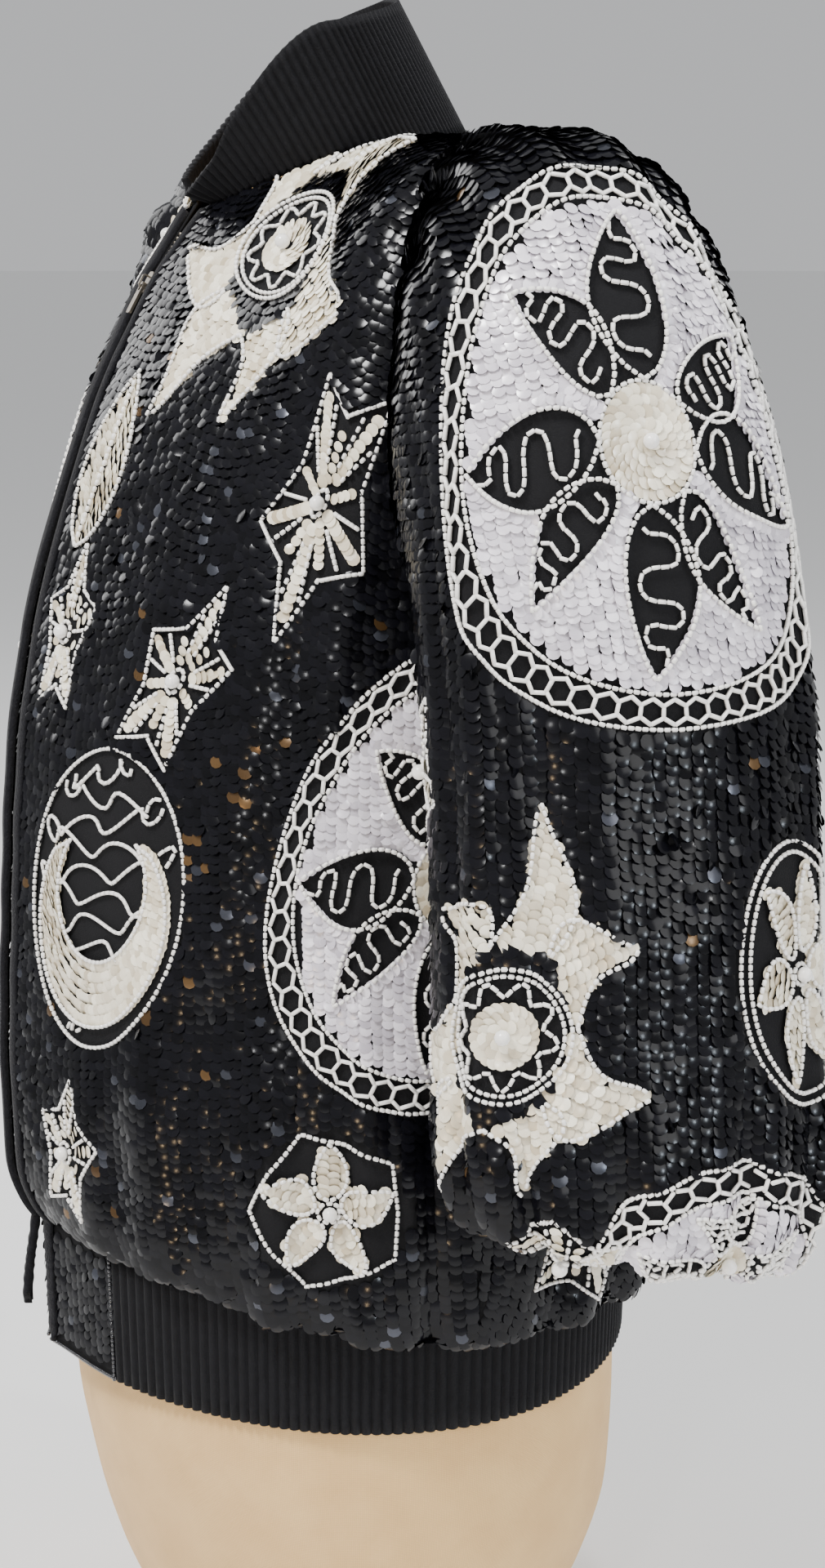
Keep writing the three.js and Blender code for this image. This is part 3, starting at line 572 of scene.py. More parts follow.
def bead_look(name, color, tint):
    look = Look(name, color, 0.22, Coat_Weight=0.5, Coat_Roughness=0.1)
    return look.tone(120, 2.0, color, tint).grain(900, 2.0, 0.0001).material


def ground_look():
    look = Look("ground_cloth", (0.004, 0.004, 0.005), 0.85, Specular_IOR_Level=0.2)
    look.tone(900, 4.0, (0.002, 0.002, 0.003), (0.008, 0.008, 0.009)).grain(1500, 2.0, 0.0003)
    return look.material


def rib_look():
    """Rib knit: matte black yarn with small stitches along each rib."""
    look = Look("rib_knit", (0.004, 0.004, 0.005), 0.7, Sheen_Weight=0.02, Sheen_Roughness=0.4,
                Specular_IOR_Level=0.15)
    look.tone(240, 3.0, (0.001, 0.001, 0.0015), (0.007, 0.007, 0.009)).grain(1400, 3.0, 0.0004)
    return look.material


def pile_look():
    look = Look("edge_pile", (0.006, 0.006, 0.007), 0.95, Sheen_Weight=0.08, Sheen_Roughness=0.4,
                Specular_IOR_Level=0.15)
    look.tone(300, 4.0, (0.003, 0.003, 0.004), (0.014, 0.014, 0.017)).grain(900, 4.0, 0.0008)
    return look.material


def tape_look():
    look = Look("zip_tape_weave", (0.008, 0.008, 0.009), 0.8, Specular_IOR_Level=0.25)
    look.tone(700, 2.0, (0.008, 0.008, 0.009), (0.02, 0.02, 0.022)).grain(1800, 2.0, 0.0003)
    return look.material


def metal_look():
    look = Look("dark_metal", (0.20, 0.18, 0.15), 0.32, Metallic=1.0)
    return look.tone(220, 3.0, (0.12, 0.11, 0.10), (0.34, 0.29, 0.22)).gloss(500, 3.0, 0.2, 0.5).material


def linen_look():
    """Plain weave linen: crossing threads about 0.7 millimetre apart, uneven in colour."""
    look = Look("linen_weave", (0.62, 0.50, 0.33), 0.85, Sheen_Weight=0.15, Sheen_Roughness=0.6)
    threads = look.maths("MULTIPLY", look.weave(1400, "X"), look.weave(1400, "Y"))
    shade = look.maths("MULTIPLY", look.maths("ADD", threads, look.noise(35, 5.0, "UV")), 0.6)
    look.put("Base Color", look.mix(shade, (0.60, 0.34, 0.12), (0.95, 0.64, 0.28)))
    look.bump(threads, 0.0004, 0.8)
    return look.material


def base_look():
    look = Look("base_paint", (0.012, 0.012, 0.012), 0.5)
    return look.gloss(60, 4.0, 0.35, 0.65).grain(300, 3.0, 0.0002).material


SEQUIN_LOOKS = [
    sequin_look("sequin_black", (0.0008, 0.0008, 0.001), (0.005, 0.005, 0.007), 0.16,
                Specular_IOR_Level=0.19),
    # Grey-blue film: a painted cool glint, a lamp's reflection put into the sequins' colour.
    sequin_look("sequin_painted_cool_glint", (0.02, 0.022, 0.028), (0.06, 0.064, 0.08), 0.22, Metallic=0.6),
    # Orange-brown film: a painted warm reflection of a lamp, put into the sequins' colour.
    sequin_look("sequin_painted_warm_glint", (0.04, 0.022, 0.010), (0.15, 0.085, 0.034), 0.22, Metallic=0.6),
    sequin_look("sequin_pearl", (0.32, 0.29, 0.34), (0.80, 0.76, 0.82), 0.22, Specular_IOR_Level=0.9),
    sequin_look("sequin_ivory", (0.34, 0.25, 0.13), (0.95, 0.90, 0.74), 0.22, Specular_IOR_Level=0.9),
]
# Slots: black film, painted cool glint, painted warm glint, white film and cream film.
BLACK, PAINTED_COOL_GLINT, PAINTED_WARM_GLINT, WHITE, CREAM = range(5)
BEAD_LOOKS = [
    bead_look("bead_white", (0.80, 0.78, 0.74), (0.90, 0.88, 0.85)),
    bead_look("bead_black", (0.01, 0.01, 0.012), (0.02, 0.02, 0.024)),
]
WHITE_BEAD, BLACK_BEAD = range(2)
GROUND, RIB, PILE, TAPE = ground_look(), rib_look(), pile_look(), tape_look()
METAL, LINEN, BASE = metal_look(), linen_look(), base_look()


# Sequins and beads: one small template each, set out many times in one mesh.
SEQUIN_RADIUS, SEQUIN_SIDES, SEQUIN_CUP = 3.75, 10, 0.6
COLUMN_PITCH, SEQUIN_STEP = 5.7, 4.5
SHINGLE = 0.11
SMALLER = 0.86


def sequin_template():
    """A shallow cone: its middle first, then its rim."""
    turn = np.arange(SEQUIN_SIDES) * TAU / SEQUIN_SIDES
    rim = np.stack([np.cos(turn), np.sin(turn), 0 * turn], -1) * SEQUIN_RADIUS
    k = np.arange(SEQUIN_SIDES)
    return np.vstack([[[0, 0, SEQUIN_CUP]], rim]), faces_of(0, 1 + k, 1 + (k + 1) % SEQUIN_SIDES)


def bead_template(length, radius, full=0.3, sides=5):
    """A bead that lies along x on the cloth: two rings between two points."""
    turn = np.arange(sides) * TAU / sides
    circle = np.stack([0 * turn, np.cos(turn), np.sin(turn)], -1) * radius
    shift, end = np.array([full * length, 0, 0]), np.array([length / 2, 0, 0])
    points = np.vstack([circle - shift, circle + shift, -end, end]) + (0, 0, radius)
    k = np.arange(sides)
    n = (k + 1) % sides
    faces = [faces_of(k, n, n + sides), faces_of(k, n + sides, k + sides),
             faces_of(2 * sides, n, k), faces_of(2 * sides + 1, k + sides, n + sides)]
    return points, np.vstack(faces)


def ball_template(radius, sides=10, rings=6):
    """A round bead that rests on the cloth: rings from the bottom up, then its two poles."""
    lift = np.linspace(-math.pi / 2, math.pi / 2, rings + 2)[1:-1, None]
    turn = np.arange(sides)[None] * TAU / sides
    round_points = np.stack(np.broadcast_arrays(
        np.cos(lift) * np.cos(turn), np.cos(lift) * np.sin(turn), np.sin(lift)), -1).reshape(-1, 3)
    points = np.vstack([round_points, [[0, 0, -1], [0, 0, 1]]])
    c = np.arange(sides)
    n = (c + 1) % sides
    r = np.arange(rings - 1)[:, None] * sides
    last = (rings - 1) * sides
    faces = [faces_of(r + c, r + n, r + sides + n), faces_of(r + c, r + sides + n, r + sides + c),
             faces_of(rings * sides, n, c), faces_of(rings * sides + 1, last + c, last + n)]
    return points * radius + (0, 0, radius), np.vstack(faces)


def scatter(template, at, way, normal, scale=None):
    """Copies of a template: its x along way, its z along normal."""
    points, faces = template
    side = np.cross(normal, way)
    base = points if scale is None else points[None] * np.asarray(scale).reshape(-1, 1, 1)
    base = np.broadcast_to(base, (len(at), *points.shape))
    placed = (at[:, None] + base[..., :1] * way[:, None] + base[..., 1:2] * side[:, None]
              + base[..., 2:] * normal[:, None])
    index = faces[None] + (np.arange(len(at)) * len(points))[:, None, None]
    return placed.reshape(-1, 3), index.reshape(-1, 3)


def joined(parts):
    """One list of points and one of faces from several."""
    shift = np.cumsum([0] + [len(points) for points, _ in parts[:-1]])
    return np.vstack([points for points, _ in parts]), np.vstack([f + k for (_, f), k in zip(parts, shift)])


def tilted(at, way, normal, lean, roll, lift):
    """Turns discs so that their free edge stands off the cloth, with a hinge at the top."""
    lean, roll = lean[:, None], roll[:, None]
    side = np.cross(normal, way)
    forward = way * np.cos(lean) + normal * np.sin(lean)
    up = normal * np.cos(lean) - way * np.sin(lean)
    up = unit(up * np.cos(roll) + side * np.sin(roll))
    forward = unit(forward - up * (forward * up).sum(-1, keepdims=True))
    raised = at + normal * (lift + SEQUIN_RADIUS * np.abs(np.sin(lean)))
    return raised, forward, up


# How unevenly sequins lie, in radians, how much more so the loose ones, and how far off the cloth.
SPIN, LEAN, ROLL, LOOSER = 0.10, 0.055, 0.085, 3.5
SEQUIN_LIFT = 0.25


class Load:
    """What is sewn to one panel: sequins and beads, gathered until they become two meshes."""

    def __init__(self):
        self.sewn = {"sequins": [], "beads": []}

    def add(self, kind, template, slots, at, *frame_and_scale):
        points, faces = scatter(template, at, *frame_and_scale)
        slots = np.repeat(np.broadcast_to(slots, len(at)), len(template[1]))
        self.sewn[kind].append((points, faces, slots))

    def add_sequins(self, at, way, normal, slots, lean=0.22, wild=0.05, scale=None):
        count = len(at)
        if not count:
            return
        spin = random.normal(0, SPIN, count)[:, None]
        way = unit(way * np.cos(spin) + np.cross(normal, way) * np.sin(spin))
        loose = np.where(random.random(count) < wild, LOOSER, 1.0)
        lean = lean + random.normal(0, LEAN, count) * loose
        roll = SHINGLE + random.normal(0, ROLL, count) * loose
        at, way, normal = tilted(at, way, normal, lean, roll, SEQUIN_LIFT)
        self.add("sequins", sequin_template(), slots, at, way, normal, scale)

    def add_beads(self, template, at, way, normal, slot=WHITE_BEAD):
        if len(at):
            self.add("beads", template, slot, at, way, normal)

    def finish(self, panel, mirror):
        for kind, looks in (("sequins", SEQUIN_LOOKS), ("beads", BEAD_LOOKS)):
            parts = self.sewn[kind]
            if parts:
                points, faces = joined([(p, f) for p, f, _ in parts])
                slots = np.concatenate([s for _, _, s in parts])
                obj = make_object(f"{kind}_{panel}", points, faces, looks, slots=slots, mirror=mirror)
                settle(obj)


# Black places whose pick lies above this get a painted cool glint.
PAINTED_COOL_GLINT_ABOVE = 0.982


def black_slots(u, v):
    """Mostly black film, with a few grey-blue pieces that are painted cool glints, and orange-brown ones
    that are painted warm reflections, most where the cloth faces down.
    """
    pick = random.random(len(u))
    # The share of painted warm reflections, highest low on the front.
    painted_warm_share = 0.003 + 0.02 * bell(u, 0.8, 0.5) * bell(v, 0.68, 0.13)
    return np.where(pick < painted_warm_share, PAINTED_WARM_GLINT, np.where(pick > PAINTED_COOL_GLINT_ABOVE, PAINTED_COOL_GLINT, BLACK))


def run_of(points):
    """How far along a line each of its points lies."""
    return np.concatenate([[0], np.cumsum(np.linalg.norm(np.diff(points, axis=0), axis=-1))])


def column_places(skin, start, low, high, v_from, v_to):
    """Places in upright columns a fixed distance apart, between two edges of a panel."""
    band = (skin.vs >= v_from) & (skin.vs <= v_to)
    vs = skin.vs[band]
    across = skin.across[band]
    origin = np.array([np.interp(start, skin.us, row) for row in across])
    reach = max(abs((across[:, -1] - origin).max()), abs((across[:, 0] - origin).min()))
    count = int(reach / COLUMN_PITCH) + 1
    found_u, found_v = [], []
    for k in range(-count, count + 1):
        offset = k * COLUMN_PITCH + random.normal(0, 0.2)
        u = np.array([np.interp(o + offset, row, skin.us, left=np.nan, right=np.nan)
                      for o, row in zip(origin, across)])
        good = np.isfinite(u)
        if good.sum() < 3:
            continue
        u, v = u[good], vs[good]
        way = run_of(skin.read(skin.points, u, v))
        stops = np.arange(SEQUIN_STEP * (0.25 + 0.5 * (k % 2)), way[-1], SEQUIN_STEP)
        stops = stops + random.normal(0, 0.25, len(stops))
        su, sv = np.interp(stops, way, u), np.interp(stops, way, v)
        keep = (su > low(sv)) & (su < high(sv))
        found_u.append(su[keep])
        found_v.append(sv[keep])
    return np.concatenate(found_u), np.concatenate(found_v)


# The edges of the panels, each as an angle for a level. EDGE keeps sequins off the seams.
EDGE, BESIDE_STRIP = 0.004, 5.5


def armhole_edge(v, reach):
    """How far the armhole cuts into the front or back at a level, as an angle."""
    t = np.clip((v - V_SHOULDER) / (V_UNDERARM - V_SHOULDER), 0, 1)
    c = np.sqrt(np.clip(1 - (1 - 2 * t) ** 2, 0, 1))
    return reach * c ** (2 / ARM_SQUARE)


def front_low(v):
    return edge_angle(GAP["half"](v) + BESIDE_STRIP, v)


def front_high(v):
    return math.pi / 2 - armhole_edge(v, ARM_FRONT) - EDGE


def back_low(v):
    return math.pi / 2 + armhole_edge(v, ARM_BACK) + EDGE


def level(angle):
    """An edge at the same angle all the way down."""
    return lambda v: angle + 0 * v


# Flat drawing of the motifs: closed outlines, strings of beads and rows of sequins, in
# millimetres, with x to the right and y down as seen from outside.
def polar(rx, ry, turn):
    """Points round an oval, from its top and clockwise."""
    return np.stack([rx * np.sin(turn), -ry * np.cos(turn)], -1)


def oval(rx, ry, count=72, middle=(0, 0)):
    return polar(rx, ry, np.arange(count) * TAU / count) + np.array(middle)


def turned(points, degrees, move=(0, 0)):
    a = math.radians(degrees)
    c, s = math.cos(a), math.sin(a)
    return points @ np.array([[c, s], [-s, c]]) + np.array(move)


def star_outline(points, rx, ry, notch):
    """A star with its first point at the top."""
    k = np.arange(2 * points)
    return polar(rx, ry, k * math.pi / points) * np.where(k % 2, notch, 1.0)[:, None]


def blade(along, middle, half, shared_tips):
    """A closed outline from a midline and its half width; the tips may be one point for both sides."""
    right = np.stack([middle + half, -along], -1)
    left = np.stack([middle - half, -along], -1)[::-1]
    return np.concatenate([right, left[1:-1] if shared_tips else left[1:]])


def leaf_half(width, t):
    return width / 2 * np.sin(math.pi * t ** 0.8) ** 0.8


def leaf_outline(start, end, width, bend=0.0):
    """A pointed leaf that lies along -y, from start to end away from the middle."""
    t = np.linspace(0, 1, 16)
    return blade(start + (end - start) * t, bend * np.sin(math.pi * t), leaf_half(width, t), True)


def ray_outline(start, length, width, bend):
    """A flame that lies along -y: broad at its root and curved to its tip."""
    t = np.linspace(0, 1, 16)
    middle = bend * (np.sin(1.4 * math.pi * t) + 0.5 * t)
    half = width / 2 * (1 - t) ** 0.75 * (1 + 0.25 * np.sin(math.pi * t))
    return blade(start + length * t, middle, half, False)


def inside(at, outline, holes=()):
    """Whether places lie in a closed outline and in none of its holes."""
    ax, ay = outline.T
    bx, by = np.roll(ax, -1), np.roll(ay, -1)
    x, y = at[:, :1], at[:, 1:]
    crossed = (ay > y) != (by > y)
    edge = ax + (y - ay) / np.where(by == ay, 1e-9, by - ay) * (bx - ax)
    kept = (crossed & (x < edge)).sum(1) % 2 == 1
    for hole in holes:
        kept &= ~inside(at, hole)
    return kept


def string(line, pitch, closed=False):
    """Evenly spaced places along a line with the line's direction there."""
    if closed:
        line = np.concatenate([line, line[:1]])
    step = np.diff(line, axis=0)
    reach = run_of(line)
    count = max(int(reach[-1] / pitch), 1)
    stops = (np.arange(count) + 0.5) * reach[-1] / count
    at = np.stack([np.interp(stops, reach, line[:, k]) for k in (0, 1)], -1)
    k = np.clip(np.searchsorted(reach, stops, side="right") - 1, 0, len(step) - 1)
    return at, unit(step[k])


RICE, TUBE, BUGLE, PEARL = "rice", "tube", "bugle", "pearl"
BEAD_SHAPES = {
    RICE: bead_template(3.2, 1.05, full=0.33),
    TUBE: bead_template(4.0, 1.0, full=0.42),
    BUGLE: bead_template(7.0, 1.05, full=0.44),
    PEARL: ball_template(3.6),
}
BEAD_PITCH = {RICE: 3.3, TUBE: 4.0}
ON_GROUND, OVER_SEQUINS = 0.5, 1.3
ROW_PITCH, ROW_STEP, RING_PITCH, RING_STEP, EDGE_STEP, SPOKE_STEP = 5.3, 3.6, 3.7, 3.4, 3.8, 3.5


class Motif:
    """Where a motif clears the black sequins away, and the sequins and beads sewn there instead."""

    def __init__(self, rx, ry):
        self.reach = 1.5 * max(rx, ry) + 10
        self.stretch = np.array([rx, ry]) / min(rx, ry)
        self.bare, self.sequins, self.beads = [], [], []

    def clear(self, outline):
        self.bare.append(outline)

    def sew(self, at, way, slot, scale=SMALLER):
        self.sequins.append((at, np.broadcast_to(way, at.shape), slot, scale))

    def bead_line(self, line, closed=True, kind=RICE, lift=ON_GROUND):
        at, way = string(line, BEAD_PITCH[kind], closed)
        self.beads.append((at, way, kind, lift))

    def bugles(self, starts, ends):
        self.beads.append(((starts + ends) / 2, unit(ends - starts), BUGLE, 0.3))

    def pearl(self):
        self.beads.append((np.array([[0.0, 0.0]]), np.array([[1.0, 0.0]]), PEARL, 0.8))

    def fill_rows(self, outline, degrees, slot, pitch=ROW_PITCH, step=ROW_STEP, without=()):
        """Rows of sequins across an outline, each row a half step on, round the places without."""
        low, high = outline.min(0), outline.max(0)
        size = np.hypot(*(high - low)) / 2 + pitch
        across = np.arange(-size, size, pitch)
        a, b = np.meshgrid(across, np.arange(-size, size, step))
        b = b + (np.arange(len(across)) % 2) * step / 2
        at = np.stack([a.ravel(), b.ravel()], -1) + random.normal(0, 0.25, (a.size, 2))
        at = turned(at, degrees, (low + high) / 2)
        self.sew(at[inside(at, outline, without)], turned(np.array([[0.0, 1.0]]), degrees), slot)

    def fill_rings(self, rx, ry, slot):
        """Sequins in rings from the edge in to the middle, each lapping outward."""
        for k in range(int(min(rx, ry) / RING_PITCH)):
            share = 1 - (k + 0.4) * RING_PITCH / min(rx, ry)
            at, way = string(oval(rx * share, ry * share), RING_STEP, closed=True)
            self.sew(at, unit(0.9 * unit(at) + 0.5 * way), slot)

    def edge_row(self, line, slot, within, without):
        """One row of sequins along a closed line, where it is free."""
        at, way = string(line, EDGE_STEP, closed=True)
        kept = inside(at, within, without)
        self.sew(at[kept], way[kept], slot)

    def spoke(self, start, end, slot, scale):
        """One line of sequins that laps outward."""
        self.sew(*string(np.array([start, end], float), SPOKE_STEP), slot, scale)

    def turn(self, degrees):
        self.bare = [turned(outline, degrees) for outline in self.bare]
        self.sequins, self.beads = (
            [(turned(at, degrees), turned(way, degrees), *rest) for at, way, *rest in sewn]
            for sewn in (self.sequins, self.beads))
        return self


# The border of a medallion: how deep it is, how wide a link is, and how far in from the edge a
# link's bugles meet.
CHAIN_DEPTH, CHAIN_PITCH = 15.0, 11.5
CHAIN_PEAK, CHAIN_FAR, CHAIN_NEAR, CHAIN_FOOT = 2.0, 5.0, 10.0, 13.0


def add_chain(motif, rx, ry):
    """A border of six-sided links of bugle beads between two bead lines."""
    motif.bead_line(oval(rx, ry))
    motif.bead_line(oval(rx - CHAIN_DEPTH, ry - CHAIN_DEPTH))
    links = int(math.pi * (rx + ry - CHAIN_DEPTH) / CHAIN_PITCH)
    turn = np.arange(links) * TAU / links
    half = turn + math.pi / links
    near, far = (polar(rx - by, ry - by, turn) for by in (CHAIN_NEAR, CHAIN_FAR))
    peak, foot = (polar(rx - by, ry - by, half) for by in (CHAIN_PEAK, CHAIN_FOOT))
    motif.bugles(near, far)
    for first, tip in ((far, peak), (near, foot)):
        motif.bugles(first, tip)
        motif.bugles(tip, np.roll(first, -1, axis=0))


def squiggle(start, end, width, waves, bend=0.0):
    """A wavering line along -y that stays inside a leaf of this width."""
    t = np.linspace(0.08, 0.9, 60)
    phase = TAU * waves * t + 0.6 * np.sin(9 * t)
    x = 0.62 * leaf_half(width, t) * np.sin(phase) + bend * np.sin(math.pi * t)
    y = -(start + (end - start) * t) + 1.6 * np.sin(2 * phase)
    return np.stack([x, y], -1)


# The leaves of a medallion, wide and narrow by turns: width and reach as shares, waves and bend.
WIDE_LEAF, NARROW_LEAF = (0.40, 0.98, 3.0, -4.0), (0.30, 0.90, 3.5, 5.0)
LEAVES, CORE_SHARE, FIELD_INSET = 8, 0.23, 2.5


def medallion(rx, ry):
    """A rosette: a linked border, a white field with dark leaves, and an oval cream middle."""
    motif = Motif(rx, ry)
    motif.clear(oval(rx + 1.5, ry + 1.5))
    field = oval(rx - CHAIN_DEPTH - FIELD_INSET, ry - CHAIN_DEPTH - FIELD_INSET)
    add_chain(motif, rx, ry)
    inner = min(rx, ry) - CHAIN_DEPTH
    core = CORE_SHARE * inner
    dark = []
    for k in range(LEAVES):
        width, reach, waves, bend = NARROW_LEAF if k % 2 else WIDE_LEAF
        width, end = width * inner, reach * inner
        degrees = 360 / LEAVES * k + 12
        dark.append(turned(leaf_outline(core - 3, end + 2, width + 5, bend), degrees) * motif.stretch)
        edge = turned(leaf_outline(core + 2, end, width, bend), degrees) * motif.stretch
        line = turned(squiggle(core + 4, end, width, waves, bend), degrees) * motif.stretch
        motif.bead_line(edge, lift=OVER_SEQUINS)
        motif.bead_line(line, closed=False, kind=TUBE)
    middle = core * motif.stretch
    dark.append(oval(*(middle + 3)))
    motif.fill_rows(field, 0, WHITE, without=dark)
    for k in range(LEAVES):
        motif.edge_row(dark[k], WHITE, field, dark[:k] + dark[k + 1:])
    motif.bead_line(oval(*(middle + 2)))
    motif.fill_rings(*middle, CREAM)
    motif.pearl()
    return motif


# A star's notch, how far its spokes reach, and the size of the sequins on the long and short ones.
STAR_NOTCH, SPOKE_REACH, LONG_SPOKE, SHORT_SPOKE = 0.6, 0.84, 0.82, 0.68


def star(rx, ry):
    """A five-pointed star, outlined in beads, with rows of sequins that meet at a pearl."""
    motif = Motif(rx, ry)
    outline = star_outline(5, rx, ry, STAR_NOTCH)
    motif.clear(outline * 1.04)
    motif.bead_line(outline)
    tips = outline * SPOKE_REACH
    for k in range(10):
        near = unit(tips[k]) * (7.5 if k % 2 else 8.5)
        motif.spoke(near, tips[k], CREAM, SHORT_SPOKE if k % 2 else LONG_SPOKE)
        middle = (outline[k] + outline[(k + 1) % 10]) / 2
        motif.bead_line(np.array([middle * 0.36, middle * 0.92]), closed=False)
    motif.bead_line(oval(5.2, 5.2, 24), lift=1.2)
    motif.pearl()
    return motif


RAYS, DISC_SHARE, RAY_BEND = 7, 0.38, 7.0
RAY_REACH = (1.0, 0.8, 0.92, 0.74, 0.97, 0.84, 0.78)


def sun(rx, ry):
    """A sun with curved rays round a disc of rings: cream, a bare band with a wavering line."""
    motif = Motif(rx, ry)
    reach = min(rx, ry)
    small = DISC_SHARE * reach
    width = TAU * small / RAYS * 1.05
    for k, long in enumerate(RAY_REACH):
        degrees = 360 / RAYS * k
        flame = ray_outline(small * 0.94, reach * long - small, width, RAY_BEND * (-1) ** k)
        flame = turned(flame, degrees) * motif.stretch
        motif.clear(flame * 1.02)
        motif.fill_rows(flame, degrees + 180, CREAM)
        for edge in (flame[:16], flame[16:]):
            motif.bead_line(edge, closed=False, lift=OVER_SEQUINS)
    motif.clear(oval(small, small))
    motif.bead_line(oval(small, small), lift=OVER_SEQUINS)
    motif.bead_line(oval(small - 3.2, small - 3.2))
    wave = np.arange(0, 1, 1 / 140) * TAU
    band = small * 0.70 + 3.2 * np.sin(9 * wave)
    motif.bead_line(polar(band, band, wave), kind=TUBE)
    motif.fill_rings(small * 0.46, small * 0.46, CREAM)
    motif.pearl()
    return motif


MEANDER_LANES, MEANDER_MARGIN = 12, 8


def meander(rx, ry):
    """A long wavering line that goes to and fro down an oval."""
    t = np.linspace(0.05, 0.95, 1600)
    y = -ry + 2 * ry * t
    wide = rx * np.sqrt(np.clip(1 - (y / ry) ** 2, 0, 1)) - MEANDER_MARGIN
    sweep = TAU * MEANDER_LANES * t / 2
    x = wide * np.sin(sweep) + 3.0 * np.sin(7.3 * sweep)
    return np.stack([x, y + 4.6 * np.cos(6.1 * sweep)], -1)


CRESCENT_ROWS = 6


def moon(rx, ry):
    """A disc outlined in beads: a cream crescent, and wavering lines on the bare ground."""
    motif = Motif(rx, ry)
    edge = oval(rx, ry)
    motif.clear(edge * 1.02)
    motif.bead_line(edge)
    turn = np.linspace(0.28 * math.pi, 1.72 * math.pi, 40)
    outer = polar(0.84 * rx, 0.70 * ry, turn) + (0, 0.16 * ry)
    back = polar(0.60 * rx, 0.48 * ry, turn[::-1]) + (0.03 * rx, -0.06 * ry)
    crescent = np.concatenate([outer, back])
    for k in range(CRESCENT_ROWS):
        share = (k + 0.5) / CRESCENT_ROWS
        at, way = string(outer * (1 - share) + back[::-1] * share, RING_STEP)
        keep = inside(at, crescent * 1.02)
        out = np.stack([-way[:, 1], way[:, 0]], -1)
        motif.sew(at[keep], unit(way[keep] + 0.4 * out[keep]), CREAM)
    motif.bead_line(crescent, lift=OVER_SEQUINS)
    at, way = string(meander(rx, ry), BEAD_PITCH[TUBE])
    free = inside(at, edge * 0.94, [crescent * 1.05])
    motif.beads.append((at[free], way[free], TUBE, 0.3))
    return motif


PETAL_PITCH, PETAL_CORE = 4.8, 6.0


def petals(rx, ry, bare, frames, size, count):
    """Petals of cream sequins round a pearl, each outlined in beads, within frames of beads."""
    motif = Motif(rx, ry)
    motif.clear(oval(rx, ry) * bare)
    for frame_line in frames:
        motif.bead_line(frame_line)
    reach = min(size)
    stretch = np.array(size) / reach
    for k in range(count):
        degrees = 360 / count * k + 20
        petal = turned(leaf_outline(PETAL_CORE, reach, 2.5 * reach / count, 2.0), degrees) * stretch
        motif.fill_rows(petal, degrees + 180, CREAM, pitch=PETAL_PITCH)
        motif.bead_line(petal, lift=OVER_SEQUINS)
    motif.bead_line(oval(PETAL_CORE * 0.8, PETAL_CORE * 0.8, 24), lift=OVER_SEQUINS)
    motif.pearl()
    return motif


def flower(rx, ry):
    """Five petals in a frame with five soft corners."""
    return petals(rx, ry, 1.02, [star_outline(5, rx, ry, 0.86)], (rx * 0.84, ry * 0.84), 5)


def oval_flower(rx, ry):
    """Six petals in an oval of two bead lines."""
    return petals(rx, ry, 1.03, [oval(rx, ry), oval(rx - 5, ry - 5)], (rx - 8, ry - 8), 6)


def leaf(rx, ry):
    """A pointed leaf with a beaded rib, filled with cream sequins that slope from the rib."""
    motif = Motif(rx, ry)
    outline = leaf_outline(-ry, ry, 2 * rx)
    motif.clear(outline * 1.04)
    for side in (-1, 1):
        half = outline.copy()
        half[:, 0] = np.where(half[:, 0] * side > 0, half[:, 0] - 1.2 * side, 0)
        motif.fill_rows(half, 180 + 28 * side, CREAM)
    motif.bead_line(outline, lift=OVER_SEQUINS)
    motif.bead_line(np.array([[0, ry * 0.9], [1.5, 0], [0, -ry * 0.9]]), closed=False, lift=1.6)
    return motif


KINDS = {kind.__name__: kind for kind in (medallion, star, sun, moon, flower, oval_flower, leaf)}

